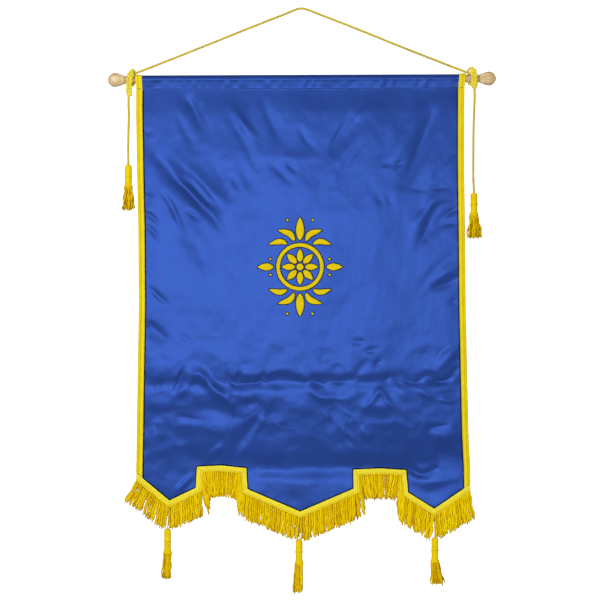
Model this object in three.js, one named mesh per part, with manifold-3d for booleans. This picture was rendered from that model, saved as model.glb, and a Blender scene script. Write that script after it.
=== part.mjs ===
// Fringed ceremonial banner hanging from a cord on a wooden rod, in millimetres.
// The origin is under the cord at its highest point, where a hook holds it.
// X runs to the banner's right as seen from its front, Y to its back, and Z up.

import * as THREE from "three";
import { mergeVertices } from "three/addons/utils/BufferGeometryUtils.js";
import Module from "manifold-3d";

const wasm = await Module();
wasm.setup();

// Driving dimensions

const gap = 0.3; // between neighbouring pieces
const rod = { radius: 7.5, halfLength: 337, z: -132.4, rise: 0.004 };
const finial = { length: 31.5, radius: 13.4, neck: 8.4 };
const cloth = { thickness: 1.4, pocketWall: 1.2, seamDrop: 18.2, sideInset: 1, underHeading: 9 };
const ribbon = { width: 13.5, thickness: 1 };
const heading = { width: 12.5, thickness: 2 };
const fringe = { pitch: 4.4, sidePitch: 5.6, radius: 1.5, tuck: 2.2, uneven: 1.6 };
const cord = { radius: 2, sides: 8, frontOfRod: 12 };
const tasselHead = { radius: 6.6, flare: 8.8, sides: 12 };
const lock = { radius: 1.5, outer: 10, inner: 4 };
const grid = { columns: 24, rows: 32, left: -330, right: 330, top: -146, bottom: -980 };

// The banner's side edges, outside the ribbons
const sideEdges = [
  { z: -124, left: -315.9, right: 310.2 },
  { z: -155, left: -314.6, right: 308.1 },
  { z: -210, left: -314.4, right: 307.4 },
  { z: -320, left: -312.6, right: 307.7 },
  { z: -420, left: -310.7, right: 309.5 },
  { z: -560, left: -309.9, right: 310.9 },
  { z: -700, left: -312.3, right: 313.9 },
  { z: -800, left: -314.0, right: 316.5 },
  { z: -870, left: -315.3, right: 320.0 },
  { z: -910, left: -315.6, right: 320.3 },
];

// The upper edge of the fringe's heading: three points with a square notch between each two.
// The fringe is cut into lengths at the top corners of the notches. Swing is how far the tips of
// the strands swing sideways, before and after each corner, and drop is their length there.
const lowerEdge = [
  { x: -315.4, z: -880.0, swingAfter: -23, drop: 37 },
  { x: -252.5, z: -933.6, swingBefore: -5, swingAfter: 0, drop: 44 },
  { x: -203.1, z: -910.0, swingBefore: 4, swingAfter: 13, drop: 44 },
  { x: -200.8, z: -869.6, swingBefore: 15, swingAfter: 15, drop: 46, cut: true },
  { x: -153.9, z: -867.0, swingBefore: 2, swingAfter: 2, drop: 46 },
  { x: -105.3, z: -872.0, swingBefore: -9, swingAfter: -9, drop: 46, cut: true },
  { x: -103.0, z: -911.7, swingBefore: -5, swingAfter: -3, drop: 44 },
  { x: -3.4, z: -953.9, swingBefore: -4, swingAfter: 2, drop: 45 },
  { x: 97.5, z: -911.0, swingBefore: 2, swingAfter: 8, drop: 46 },
  { x: 96.9, z: -874.9, swingBefore: 9, swingAfter: 12, drop: 44, cut: true },
  { x: 148.2, z: -872.6, swingBefore: 1, swingAfter: 1, drop: 44 },
  { x: 199.3, z: -876.2, swingBefore: -9, swingAfter: -7, drop: 44, cut: true },
  { x: 202.7, z: -918.6, swingBefore: -6, swingAfter: -5, drop: 49 },
  { x: 251.6, z: -948.6, swingBefore: -4, swingAfter: 2, drop: 46 },
  { x: 320.3, z: -901.5, swingBefore: 9, drop: 50 },
];

// The cloth's main folds: each runs straight from one place to another. Depth is how far the
// cloth bulges to the front (negative) or the back, and width how far the fold reaches sideways.
const folds = [
  { fromX: -250, fromZ: -160, toX: -232, toZ: -232, width: 13, depth: -4 },
  { fromX: -219, fromZ: -158, toX: -186, toZ: -238, width: 13, depth: 4 },
  { fromX: -133, fromZ: -190, toX: -92, toZ: -268, width: 14, depth: -4 },
  { fromX: -66, fromZ: -190, toX: -44, toZ: -246, width: 13, depth: 3 },
  { fromX: -262, fromZ: -292, toX: -168, toZ: -392, width: 15, depth: 6 },
  { fromX: -235, fromZ: -285, toX: -150, toZ: -372, width: 15, depth: -5 },
  { fromX: 249, fromZ: -200, toX: 196, toZ: -332, width: 15, depth: 5 },
  { fromX: 222, fromZ: -190, toX: 168, toZ: -300, width: 14, depth: -4 },
  { fromX: 288, fromZ: -274, toX: 258, toZ: -316, width: 13, depth: -4 },
  { fromX: 286, fromZ: -376, toX: 236, toZ: -428, width: 14, depth: 5 },
  { fromX: 100, fromZ: -218, toX: 52, toZ: -280, width: 14, depth: 4 },
  { fromX: 300, fromZ: -510, toX: 242, toZ: -532, width: 13, depth: 4 },
  { fromX: 296, fromZ: -634, toX: 248, toZ: -676, width: 14, depth: -4 },
  { fromX: -300, fromZ: -606, toX: -258, toZ: -628, width: 13, depth: 4 },
  { fromX: -175, fromZ: -630, toX: -140, toZ: -668, width: 14, depth: -3 },
  { fromX: -300, fromZ: -712, toX: 300, toZ: -706, width: 12, depth: 5 },
  { fromX: -196, fromZ: -690, toX: -138, toZ: -744, width: 13, depth: -4 },
  { fromX: -68, fromZ: -756, toX: -106, toZ: -816, width: 14, depth: 4 },
  { fromX: 124, fromZ: -756, toX: 172, toZ: -756, width: 13, depth: -3 },
  { fromX: 66, fromZ: -740, toX: 50, toZ: -806, width: 14, depth: 4 },
  { fromX: -270, fromZ: -856, toX: 280, toZ: -862, width: 16, depth: 3 },
];
const sag = { from: -700, to: -860, depth: 6, tips: -930, tipDepth: 3 };

// The cord's route, chosen to lie as the cord hangs
const cordSpan = [
  [-315.3, -4.6, -121.6],
  [-288.8, -4, -111.3],
  [-178.6, -2.5, -67.3],
  [-87.4, -1, -30.4],
  [-26.6, 0, -6.3],
  [-11.4, 0, 0],
  [-3.8, 0, 1.8],
  [0, 0, 2],
  [3.8, 0, 1.7],
  [11.4, 0, -0.8],
  [34.2, 0, -9.6],
  [95, -2.5, -33.6],
  [186.2, -5.5, -71],
  [277.4, -9, -107.4],
  [319.5, -11.1, -124.1],
];
const cordTailLeft = [
  [-327.9, -12, -167.2],
  [-328.3, -12, -177],
  [-327.7, -12, -200],
  [-328.4, -12, -235],
  [-328.9, -12, -263],
  [-328.5, -12, -295.6],
];
const cordTailRight = [
  [326.4, -12, -155.1],
  [326.8, -12, -168],
  [325.9, -12, -192],
  [324.7, -12, -225],
  [324.2, -12, -290],
  [324.4, -12, -325],
  [325.4, -12, -348.6],
];

// The knots: a plait of three strands in front of the rod, and a turn of cord behind it that
// leaves the plait's top, goes round the rod between two angles (0 is behind it, 90 above it)
// and joins the plait again
const knots = {
  left: {
    plait: [[-320.6, -8, -115], [-324, -12.6, -124], [-326.4, -12.6, -140], [-327.9, -12, -166.2]],
    leave: [[-321, -8.6, -115.6], [-318.2, -6, -118], [-317.6, -1, -121]],
    turn: { fromX: -318.6, toX: -323, fromAngle: 50, toAngle: -120 },
    join: [[-325.8, -11, -149]],
    stub: [[-326, -12, -157], [-323.8, -12, -162], [-322.4, -12.4, -165.4]],
  },
  right: {
    plait: [[321.6, -8, -111.5], [325, -12.6, -120], [326.4, -12.6, -136], [326.4, -12, -154]],
    leave: [[322.4, -8.6, -111.8], [317.2, -5.4, -113.2], [315.2, -1, -117.4]],
    turn: { fromX: 317.6, toX: 318.4, fromAngle: 50, toAngle: -115 },
    join: [[320.8, -11, -145.5], [325.4, -12, -151]],
  },
};
const plait = { width: 3.4, depth: 1.5, crossing: 27, radius: 2.2, steps: 12, sides: 5 };

// Tassels under the points and on the cord's ends. Lean is how far the skirt's end lies sideways.
const pointTassels = [
  { name: "left", x: -256.3, top: -987.7, head: 47.4, skirt: 48, lean: -2, spread: 19.6, corner: 1 },
  { name: "centre", x: -5.6, top: -1007.3, head: 47.1, skirt: 54, lean: -2.6, spread: 22, corner: 7 },
  { name: "right", x: 252.9, top: -1003.9, head: 47.1, skirt: 41.4, lean: 5.5, spread: 30, corner: 13 },
];
const cordTassels = [
  { name: "left", x: -328.5, top: -296, head: 43.7, skirt: 41.6, lean: 1, spread: 25.5 },
  { name: "right", x: 325.4, top: -349, head: 42.9, skirt: 43, lean: 0.5, spread: 34 },
];

// Materials

const satin = new THREE.MeshStandardMaterial({ color: 0x3c5fb9, roughness: 0.45, metalness: 0 });
const braid = new THREE.MeshStandardMaterial({ color: 0xe6c616, roughness: 0.7, metalness: 0 });
const yarn = new THREE.MeshStandardMaterial({ color: 0xe2b914, roughness: 0.75, metalness: 0 });
const rope = new THREE.MeshStandardMaterial({ color: 0xc9ae3c, roughness: 0.7, metalness: 0 });
const wood = new THREE.MeshStandardMaterial({ color: 0xdcbb86, roughness: 0.55, metalness: 0 });

// Solids

function solidOf(geometry) {
  const bare = geometry.clone();
  bare.deleteAttribute("normal");
  bare.deleteAttribute("uv");
  const merged = mergeVertices(bare, 1e-4);
  const corners = [];
  for (let i = 0; i < merged.index.count; i += 3) {
    const [a, b, c] = [0, 1, 2].map((k) => merged.index.getX(i + k));
    if (a !== b && b !== c && c !== a) corners.push(a, b, c);
  }
  return new wasm.Manifold(new wasm.Mesh({
    numProp: 3,
    vertProperties: new Float32Array(merged.attributes.position.array),
    triVerts: new Uint32Array(corners),
  }));
}

function joined(solids) {
  return solids.reduce((whole, solid) => whole.add(solid));
}

function meshOf(name, solid, material) {
  const { vertProperties, triVerts } = solid.getMesh();
  const geometry = new THREE.BufferGeometry();
  geometry.setAttribute("position", new THREE.BufferAttribute(new Float32Array(vertProperties), 3));
  geometry.setIndex(new THREE.BufferAttribute(new Uint32Array(triVerts), 1));
  geometry.computeVertexNormals();
  const mesh = new THREE.Mesh(geometry, material);
  mesh.name = name;
  return mesh;
}

function bend(geometry, move) {
  const position = geometry.attributes.position;
  const point = new THREE.Vector3();
  for (let i = 0; i < position.count; i++) {
    point.fromBufferAttribute(position, i);
    move(point);
    position.setXYZ(i, point.x, point.y, point.z);
  }
  return geometry;
}

// A block with this outline in X and Z, through the whole depth of the cloth
function prism(outline) {
  const reach = 60;
  const shape = new THREE.Shape(outline.map(({ x, z }) => new THREE.Vector2(x, z)));
  const block = new THREE.ExtrudeGeometry(shape, { depth: 2 * reach, bevelEnabled: false });
  block.rotateX(Math.PI / 2);
  block.translate(0, reach, 0);
  return solidOf(block);
}

function tube(points, radius, steps, sides) {
  const path = new THREE.CatmullRomCurve3(points.map((point) => new THREE.Vector3(...point)));
  const section = new THREE.Shape(ring(sides, radius));
  return solidOf(new THREE.ExtrudeGeometry(section, { steps, bevelEnabled: false, extrudePath: path }));
}

function ring(sides, radius) {
  const points = [];
  for (let i = 0; i < sides; i++) {
    const angle = (2 * Math.PI * i) / sides;
    points.push(new THREE.Vector2(radius * Math.cos(angle), radius * Math.sin(angle)));
  }
  return points;
}

// A steady pseudo-random value from -1 to 1 for each number
function uneven(number) {
  const wave = Math.sin(number * 12.9898) * 43758.5453;
  return 2 * (wave - Math.floor(wave)) - 1;
}

// The cloth's folded surface

function smooth(t) {
  const clamped = Math.min(1, Math.max(0, t));
  return clamped * clamped * (3 - 2 * clamped);
}

function rodZ(x) {
  return rod.z + rod.rise * x;
}

function foldDepth(x, z) {
  let depth = sag.depth * smooth((sag.from - z) / (sag.from - sag.to));
  depth -= (sag.depth - sag.tipDepth) * smooth((sag.to - z) / (sag.to - sag.tips));
  for (const fold of folds) {
    const runX = fold.toX - fold.fromX;
    const runZ = fold.toZ - fold.fromZ;
    const length = Math.hypot(runX, runZ);
    const along = ((x - fold.fromX) * runX + (z - fold.fromZ) * runZ) / length;
    const across = ((z - fold.fromZ) * runX - (x - fold.fromX) * runZ) / length;
    const beyond = Math.max(0, -along, along - length);
    depth += fold.depth * Math.exp(-(across ** 2 + beyond ** 2) / fold.width ** 2);
  }
  return depth * smooth((rodZ(x) - cloth.seamDrop - 4 - z) / 26);
}

// A layer of the folded cloth between two distances from the cloth's middle
function foldedLayer(front, back) {
  const across = grid.columns + 1;
  const layerSize = across * (grid.rows + 1);
  const positions = [];
  for (const offset of [front, back]) {
    for (let row = 0; row <= grid.rows; row++) {
      for (let column = 0; column <= grid.columns; column++) {
        const x = grid.left + ((grid.right - grid.left) * column) / grid.columns;
        const z = grid.top + ((grid.bottom - grid.top) * row) / grid.rows;
        positions.push(x, foldDepth(x, z) + offset, z);
      }
    }
  }
  const triangles = [];
  const quad = (a, b, c, d) => triangles.push(a, b, d, b, c, d);
  for (let row = 0; row < grid.rows; row++) {
    for (let column = 0; column < grid.columns; column++) {
      const a = row * across + column;
      quad(a, a + across, a + across + 1, a + 1);
      triangles.push(a + layerSize, a + 1 + layerSize, a + across + layerSize);
      triangles.push(a + across + layerSize, a + 1 + layerSize, a + across + 1 + layerSize);
    }
  }
  for (let column = 0; column < grid.columns; column++) {
    const low = grid.rows * across + column;
    quad(column, column + 1, column + 1 + layerSize, column + layerSize);
    quad(low + 1, low, low + layerSize, low + 1 + layerSize);
  }
  for (let row = 0; row < grid.rows; row++) {
    const left = row * across;
    const right = left + grid.columns;
    quad(left, left + layerSize, left + across + layerSize, left + across);
    quad(right, right + across, right + across + layerSize, right + layerSize);
  }
  const geometry = new THREE.BufferGeometry();
  geometry.setAttribute("position", new THREE.Float32BufferAttribute(positions, 3));
  geometry.setIndex(triangles);
  return solidOf(geometry);
}

// The points of one side edge between the pocket's seam and the heading
function sideLine(side, shift) {
  return sideEdges.slice(1, -1).map((edge) => ({ x: edge[side] + shift, z: edge.z }));
}

function lowerEdgeAt(x) {
  const next = lowerEdge.findIndex((point) => point.x >= x);
  const [left, right] = [lowerEdge[Math.max(0, next - 1)], lowerEdge[Math.max(1, next)]];
  return left.z + ((right.z - left.z) * (x - left.x)) / (right.x - left.x);
}

// The lower edge moved outwards by a distance, with its two ends moved straight down
function lowerEdgeOut(distance) {
  const outward = (from, to) => {
    const length = Math.hypot(to.x - from.x, to.z - from.z);
    return { x: (to.z - from.z) / length, z: -(to.x - from.x) / length };
  };
  return lowerEdge.map((point, i) => {
    if (i === 0) return { x: point.x, z: point.z + distance / outward(point, lowerEdge[1]).z };
    const before = outward(lowerEdge[i - 1], point);
    if (i === lowerEdge.length - 1) return { x: point.x, z: point.z + distance / before.z };
    const after = outward(point, lowerEdge[i + 1]);
    const share = distance / (1 + before.x * after.x + before.z * after.z);
    return { x: point.x + share * (before.x + after.x), z: point.z + share * (before.z + after.z) };
  });
}

// A tear-shaped section around the rod: round over its top, with flanks that meet at the seam
const pocketRadius = rod.radius + gap + cloth.pocketWall;
const flankAngle = Math.asin(pocketRadius / (cloth.seamDrop + 1.3));

function tearSection(radius) {
  const points = [];
  const arcSteps = 16;
  for (let i = 0; i <= arcSteps; i++) {
    const angle = -flankAngle + ((Math.PI + 2 * flankAngle) * i) / arcSteps;
    points.push(new THREE.Vector2(radius * Math.cos(angle), radius * Math.sin(angle)));
  }
  points.push(new THREE.Vector2(0, -radius / Math.sin(flankAngle)));
  return points;
}

// A section drawn in Y and Z around the rod's middle, run along the rod from one X to another
function alongRod(section, fromX, toX) {
  const geometry = new THREE.ExtrudeGeometry(section, { depth: toX - fromX, bevelEnabled: false });
  return solidOf(bend(geometry, (point) => {
    const [y, z, x] = [point.x, point.y, point.z + fromX];
    point.set(x, y, z + rodZ(x));
  }));
}

function pocket() {
  const section = new THREE.Shape(tearSection(pocketRadius));
  section.holes.push(new THREE.Path(tearSection(pocketRadius - cloth.pocketWall)));
  const { left, right } = sideEdges[0];
  return alongRod(section, left + cloth.sideInset, right - cloth.sideInset);
}

function bannerCloth() {
  const inset = cloth.sideInset;
  const [left, right] = [sideLine("left", inset), sideLine("right", -inset)];
  const bottom = lowerEdgeOut(cloth.underHeading);
  bottom[0].x += inset;
  bottom.at(-1).x -= inset;
  const top = [right[0], left[0]].map(({ x }) => ({ x, z: rodZ(x) - cloth.seamDrop + 2 * gap }));
  const half = cloth.thickness / 2;
  const panel = foldedLayer(-half, half).intersect(prism([...top, ...left, ...bottom, ...right.reverse()]));
  return panel.add(pocket());
}

// A ribbon down one side edge, over the pocket and down behind it as far as the seam
function sideRibbon(side) {
  const inward = side === "left" ? 1 : -1;
  const end = side === "left" ? lowerEdge[0] : lowerEdge.at(-1);
  const topX = sideEdges[0][side];
  const seamZ = rodZ(topX) - cloth.seamDrop;
  const beside = sideLine(side, 0);
  const outer = [{ x: beside[0].x, z: seamZ + gap }, ...beside, { x: end.x, z: end.z + 2 * gap }];
  const inner = outer.map(({ x, z }) => ({ x: x + inward * ribbon.width, z }));
  inner.at(-1).z = lowerEdgeAt(inner.at(-1).x) + 2 * gap;
  const back = -cloth.thickness / 2 - gap;
  const strip = foldedLayer(back - ribbon.thickness, back).intersect(prism([...outer, ...inner.reverse()]));

  const section = new THREE.Shape(tearSection(pocketRadius + gap + ribbon.thickness));
  section.holes.push(new THREE.Path(tearSection(pocketRadius + gap)));
  const [fromX, toX] = [topX, topX + inward * ribbon.width].sort((a, b) => a - b);
  const wide = 2 * Math.abs(topX);
  const underSeam = prism([
    { x: -wide, z: seamZ - gap },
    { x: wide, z: seamZ - gap },
    { x: wide, z: seamZ - 3 * pocketRadius },
    { x: -wide, z: seamZ - 3 * pocketRadius },
  ]);
  return strip.add(alongRod(section, fromX, toX).subtract(underSeam));
}

// Fringe

// A straight strand or lock: its root is tucked into what carries it, its tip swings sideways
function strand(root, swing, drop, sides, radius, taper) {
  const section = new THREE.Shape(ring(sides, radius));
  const body = new THREE.ExtrudeGeometry(section, { depth: drop + fringe.tuck, bevelEnabled: false });
  body.translate(0, 0, -drop);
  bend(body, (point) => {
    const down = Math.max(0, -point.z / drop);
    const width = 1 + (taper - 1) * down;
    point.x = point.x * width + swing.x * down;
    point.y = point.y * width + swing.y * down;
  });
  body.translate(root.x, root.y, root.z);
  return solidOf(body);
}

// Strands in front of a tassel's head are cut short above it
function lowestOver(x) {
  const over = pointTassels.find((place) => Math.abs(x - place.x) < tasselHead.radius + 3.2);
  return over ? over.top + 1.5 : -Infinity;
}

// The strands along one stretch of the heading's lower edge, from corner i to the next one
function strandsBetween(i, outerEdge, depth) {
  const [from, to] = [outerEdge[i], outerEdge[i + 1]];
  const [start, end] = [lowerEdge[i], lowerEdge[i + 1]];
  const upright = Math.abs(to.z - from.z) > Math.abs(to.x - from.x);
  const run = Math.hypot(to.x - from.x, to.z - from.z);
  const spacing = upright ? fringe.sidePitch : fringe.pitch * run / Math.abs(to.x - from.x);
  const count = Math.max(1, Math.round(run / spacing) - (upright ? 1 : 0));
  const strands = [];
  for (let n = 0; n < count; n++) {
    const t = (n + 0.5) / count;
    const x = from.x + (to.x - from.x) * t;
    const z = from.z + (to.z - from.z) * t;
    const swing = start.swingAfter + (end.swingBefore - start.swingAfter) * t;
    const drop = start.drop + (end.drop - start.drop) * t + fringe.uneven * uneven(n + 31 * i);
    const length = Math.min(drop, z - lowestOver(x + swing));
    const layer = n % 2 === 0 ? -0.5 : 0.5;
    const root = { x, y: foldDepth(x, z) + depth + layer, z: z + 0.4 };
    const sway = { x: swing + 0.5 * uneven(n + 7 * i), y: 2.4 * layer };
    strands.push(strand(root, sway, length, 3, fringe.radius, 0.8));
  }
  return strands;
}

// One length of fringe, from corner first to corner last: its heading with the strands under it
function fringeLength(first, last) {
  const outerEdge = lowerEdgeOut(heading.width);
  const upper = lowerEdge.slice(first, last + 1).map(({ x, z }) => ({ x, z }));
  const lower = outerEdge.slice(first, last + 1).map(({ x, z }) => ({ x, z }));
  const towards = (point, goal) => {
    const length = Math.hypot(goal.x - point.x, goal.z - point.z);
    point.x += ((goal.x - point.x) * gap) / length;
    point.z += ((goal.z - point.z) * gap) / length;
  };
  for (const line of [upper, lower]) {
    if (lowerEdge[first].cut) towards(line[0], line[1]);
    if (lowerEdge[last].cut) towards(line.at(-1), line.at(-2));
  }
  const back = -cloth.thickness / 2 - gap;
  const front = back - heading.thickness;
  const band = foldedLayer(front, back).intersect(prism([...lower, ...upper.reverse()]));
  const pieces = [band];
  for (let i = first; i < last; i++) {
    pieces.push(...strandsBetween(i, outerEdge, (front + back) / 2));
  }
  return joined(pieces);
}

// Tassels

// A covered head with a flared foot, and a skirt of soft locks
function tassel({ x, top, head, skirt, lean, spread }, y) {
  const { radius, flare, sides } = tasselHead;
  const profile = [
    [0, 0],
    [radius * 0.6, 0],
    [radius, -head * 0.08],
    [radius, -head * 0.47],
    [radius + 0.8, -head * 0.51],
    [radius, -head * 0.55],
    [radius, -head * 0.82],
    [flare, -head * 0.95],
    [flare * 0.9, -head],
    [0, -head],
  ];
  const turned = profile.map((point) => new THREE.Vector2(...point)).reverse();
  const body = new THREE.LatheGeometry(turned, sides);
  body.rotateX(Math.PI / 2);
  body.translate(x, y, top);
  const pieces = [solidOf(body)];
  const rings = [
    { count: lock.outer, at: flare - 2.6, out: spread / 2 - lock.radius, turn: 0 },
    { count: lock.inner, at: 2.6, out: spread / 4 - 1, turn: 0.4 },
  ];
  for (const { count, at, out, turn } of rings) {
    for (let n = 0; n < count; n++) {
      const angle = turn + (2 * Math.PI * n) / count;
      const root = { x: x + at * Math.cos(angle), y: y + at * Math.sin(angle), z: top - head + 1 };
      const reach = out - at + 0.6 * uneven(n + count);
      const sway = { x: lean + reach * Math.cos(angle), y: reach * Math.sin(angle) * 0.75 };
      const length = skirt + 1 - 1.2 - 1.2 * uneven(3 * n + count);
      pieces.push(strand(root, sway, length, 4, lock.radius, 1.1));
    }
  }
  return joined(pieces);
}

// A point's tassel hangs on a string that is sewn to the back of the cloth
function pointTassel(place) {
  const tip = lowerEdge[place.corner];
  const stringRadius = 1.2;
  const y = foldDepth(tip.x, tip.z) + cloth.thickness / 2 + gap + stringRadius;
  const string = [
    [tip.x, y, tip.z + 2],
    [tip.x, y, tip.z - 14],
    [(tip.x + place.x) / 2, y, (tip.z + place.top) / 2],
    [place.x, y, place.top - 2],
  ];
  return tassel(place, y).add(tube(string, stringRadius, 6, 6));
}

// Cord and knots

// The middle line of one strand of a plait that follows the given points
function plaitStrand(points, index) {
  const path = new THREE.CatmullRomCurve3(points.map((point) => new THREE.Vector3(...point)));
  const length = path.getLength();
  const line = [];
  for (let i = 0; i <= plait.steps; i++) {
    const t = i / plait.steps;
    const swell = Math.min(1, t / 0.16, (1 - t) / 0.2);
    const phase = 2 * Math.PI * ((t * length) / plait.crossing + index / 3);
    const middle = path.getPointAt(t);
    line.push([
      middle.x + swell * plait.width * Math.sin(phase),
      middle.y + swell * plait.depth * Math.sin(2 * phase),
      middle.z,
    ]);
  }
  return line;
}

// Points around the rod, just clear of it
function turnAroundRod({ fromX, toX, fromAngle, toAngle }) {
  const points = [];
  const steps = 5;
  const reach = rod.radius + gap + cord.radius + 0.4;
  for (let i = 0; i <= steps; i++) {
    const x = fromX + ((toX - fromX) * i) / steps;
    const angle = THREE.MathUtils.degToRad(fromAngle + ((toAngle - fromAngle) * i) / steps);
    points.push([x, reach * Math.cos(angle), rodZ(x) + reach * Math.sin(angle)]);
  }
  return points;
}

function knot({ plait: route, leave, turn, join, stub }) {
  const pieces = [];
  for (let index = 0; index < 3; index++) {
    pieces.push(tube(plaitStrand(route, index), plait.radius, plait.steps, plait.sides));
  }
  pieces.push(tube([...leave, ...turnAroundRod(turn), ...join], cord.radius, 12, 6));
  if (stub) pieces.push(tube(stub, plait.radius, 2, plait.sides));
  return joined(pieces);
}

// Wood

function dowel() {
  const body = new THREE.CylinderGeometry(rod.radius, rod.radius, 2 * rod.halfLength, 28);
  body.rotateZ(Math.PI / 2);
  return solidOf(bend(body, (point) => {
    point.z += rodZ(point.x);
  }));
}

// A turned egg with a short neck towards the rod
function finialEnd(inward) {
  const { length, radius, neck } = finial;
  const profile = [[0, 0]];
  const steps = 8;
  for (let i = 1; i <= steps; i++) {
    const t = i / steps;
    const egg = Math.sin(Math.PI * Math.min(1, t * 0.78) ** 0.62);
    profile.push([Math.max(egg * radius, t > 0.5 ? neck : 0), t * (length - 2.4)]);
  }
  profile.push([neck, length]);
  profile.push([0, length]);
  const body = new THREE.LatheGeometry(profile.map((point) => new THREE.Vector2(...point)), 16);
  body.rotateZ(-Math.PI / 2);
  const end = rod.halfLength + gap + length;
  return solidOf(bend(body, (point) => {
    point.x = inward * (point.x - end);
    point.y *= inward;
    point.z += rodZ(point.x);
  }));
}

// The banner

const banner = new THREE.Group();
banner.add(meshOf("rod", dowel(), wood));
banner.add(meshOf("finial_left", finialEnd(1), wood));
banner.add(meshOf("finial_right", finialEnd(-1), wood));
banner.add(meshOf("banner_cloth", bannerCloth(), satin));
banner.add(meshOf("ribbon_left", sideRibbon("left"), braid));
banner.add(meshOf("ribbon_right", sideRibbon("right"), braid));

const fringeNames = ["left", "notch_left", "centre", "notch_right", "right"];
const cuts = lowerEdge.flatMap((point, i) => (point.cut ? [i] : []));
const ends = [0, ...cuts, lowerEdge.length - 1];
fringeNames.forEach((name, i) => {
  banner.add(meshOf(`fringe_${name}`, fringeLength(ends[i], ends[i + 1]), yarn));
});

for (const place of pointTassels) {
  banner.add(meshOf(`tassel_${place.name}`, pointTassel(place), yarn));
}
for (const place of cordTassels) {
  banner.add(meshOf(`cord_tassel_${place.name}`, tassel(place, -cord.frontOfRod), yarn));
}
banner.add(meshOf("cord_span", tube(cordSpan, cord.radius, 60, cord.sides), rope));
banner.add(meshOf("cord_tail_left", tube(cordTailLeft, cord.radius, 10, cord.sides), rope));
banner.add(meshOf("cord_tail_right", tube(cordTailRight, cord.radius, 14, cord.sides), rope));
banner.add(meshOf("knot_left", knot(knots.left), rope));
banner.add(meshOf("knot_right", knot(knots.right), rope));

export default banner;
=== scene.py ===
# A fringed satin banner that hangs from a cord on a wooden rod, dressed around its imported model.
# Everything is in metres: X to the banner's right seen from its front, Y to its back, Z up.

import math
from collections import namedtuple

import bmesh
import bpy
import numpy as np
from mathutils.geometry import delaunay_2d_cdt
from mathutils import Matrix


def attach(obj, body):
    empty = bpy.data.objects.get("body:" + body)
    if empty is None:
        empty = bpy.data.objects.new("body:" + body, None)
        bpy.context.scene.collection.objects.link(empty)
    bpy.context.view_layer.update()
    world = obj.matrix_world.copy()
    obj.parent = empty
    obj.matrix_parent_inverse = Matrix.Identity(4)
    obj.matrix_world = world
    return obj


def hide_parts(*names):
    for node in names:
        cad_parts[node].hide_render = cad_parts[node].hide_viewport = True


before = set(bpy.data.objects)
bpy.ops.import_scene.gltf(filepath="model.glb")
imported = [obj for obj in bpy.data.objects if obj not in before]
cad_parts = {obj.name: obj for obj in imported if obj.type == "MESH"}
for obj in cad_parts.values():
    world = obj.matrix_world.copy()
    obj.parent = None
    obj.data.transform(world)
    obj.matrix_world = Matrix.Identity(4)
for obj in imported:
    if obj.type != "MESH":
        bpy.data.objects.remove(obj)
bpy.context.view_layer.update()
chance = np.random.default_rng(11)

SIDES = ("left", "right")
FRINGES = ("left", "notch_left", "centre", "notch_right", "right")
CURVE_POINTS = 24

# Rod, which rises towards +X by ROD_TILT of its run, and finials

ROD_RADIUS = 0.0075
ROD_HALF_LENGTH = 0.337
ROD_EDGE = 0.0006
ROD_EVEN_TO = 0.33
ROD_Z = -0.1324
ROD_TILT = 0.004
TURNED_SIDES = 48
FINIAL_LENGTH = 0.0315
FINIAL_RADIUS = 0.0134
FINIAL_NECK = 0.0084
FINIAL_GAP = 0.0003
COLLAR_LENGTH = 0.0026
# Places from the finial's outer end to its collar, and the share of its radius at each
FINIAL_PROFILE = (
    (0, 0.05), (0.03, 0.3), (0.08, 0.5), (0.15, 0.7), (0.25, 0.88), (0.36, 0.98),
    (0.46, 1), (0.58, 0.98), (0.7, 0.92), (0.82, 0.83), (0.92, 0.74), (1, 0.7),
)
# The collar's rings: how far each is from the finial's inner end, and how much wider than the neck
COLLAR = ((0.0022, 0), (0.0014, 0.0003), (0.0004, 0), (0, -0.0006))

# Cord and knots: reach is a twisted cord's radius at the crest of its plies

CORD_REACH = 0.0026
CORD_LAY = 0.0135
CORD_STEP = 0.0014
CORD_OFF_ROD = 0.0004
CORD_TONE = 0.5
KNOT_STEP = 0.0012
KNOT_TONE = 0.9
STUB_TONE = 0.95
PLAIT_REACH = 0.0031
PLAIT_WIDTH = 0.004
PLAIT_DEPTH = 0.0015
PLAIT_CROSSING = 0.027
PLAIT_OPENS = 0.16
PLAIT_CLOSES = 0.2

# Cloth: the pocket round the rod ends in a seam that stands in front of the rod's middle

CLOTH_THICKNESS = 0.0005
CLOTH_CELL = 0.0034
CLOTH_INSET = 0.001
ROW_SHARE = 0.87
CLEAR_SHARE = 0.55
WELD = 0.00003
POCKET_RADIUS = 0.0082
POCKET_BEHIND = 0.0009
POCKET_SPREAD = 0.0062
POCKET_COLUMNS = 185
PUCKER_DEPTH = 0.00055
SEAM_DROP = 0.0182
SEAM_LEVEL = -0.155
SEAM_FORWARD = 0.0042
HEM_BELOW_SEAM = 0.006
UNDER_HEADING = 0.009
FLAT_BELOW_SEAM = 0.004
FOLDS_RISE = 0.026
BELLY = 0.002
BELLY_DROP = 0.05
BELLY_END = 0.4
RIPPLE = 0.0005
SAG_FROM = -0.7
SAG_TO = -0.875
SAG_DEPTH = 0.006
TIPS_AT = -0.945
TIPS_DEPTH = 0.003
FOLD_SHARE = 0.55
FOLD_STEP = 0.05
CREASE_SHARE = 0.55
CREASE_SPREAD = 1.25
CREASE_STEP = 0.007
FINE_CREASE = 0.005
FINE_CREASE_SHARE = 0.85
# The crumpled band across the lower half: levels down from the top, and how crumpled it is there
CRUMPLED_BAND = ((0.58, 0), (0.68, 1), (0.84, 1), (0.9, 0.3))

# Ribbons, headings and stitches

RIBBON_WIDTH = 0.0121
RIBBON_THICKNESS = 0.0008
RIBBON_ROUND_ROD = 0.0094
RIBBON_BEHIND = 0.0024
RIBBON_ROWS = 270
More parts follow.
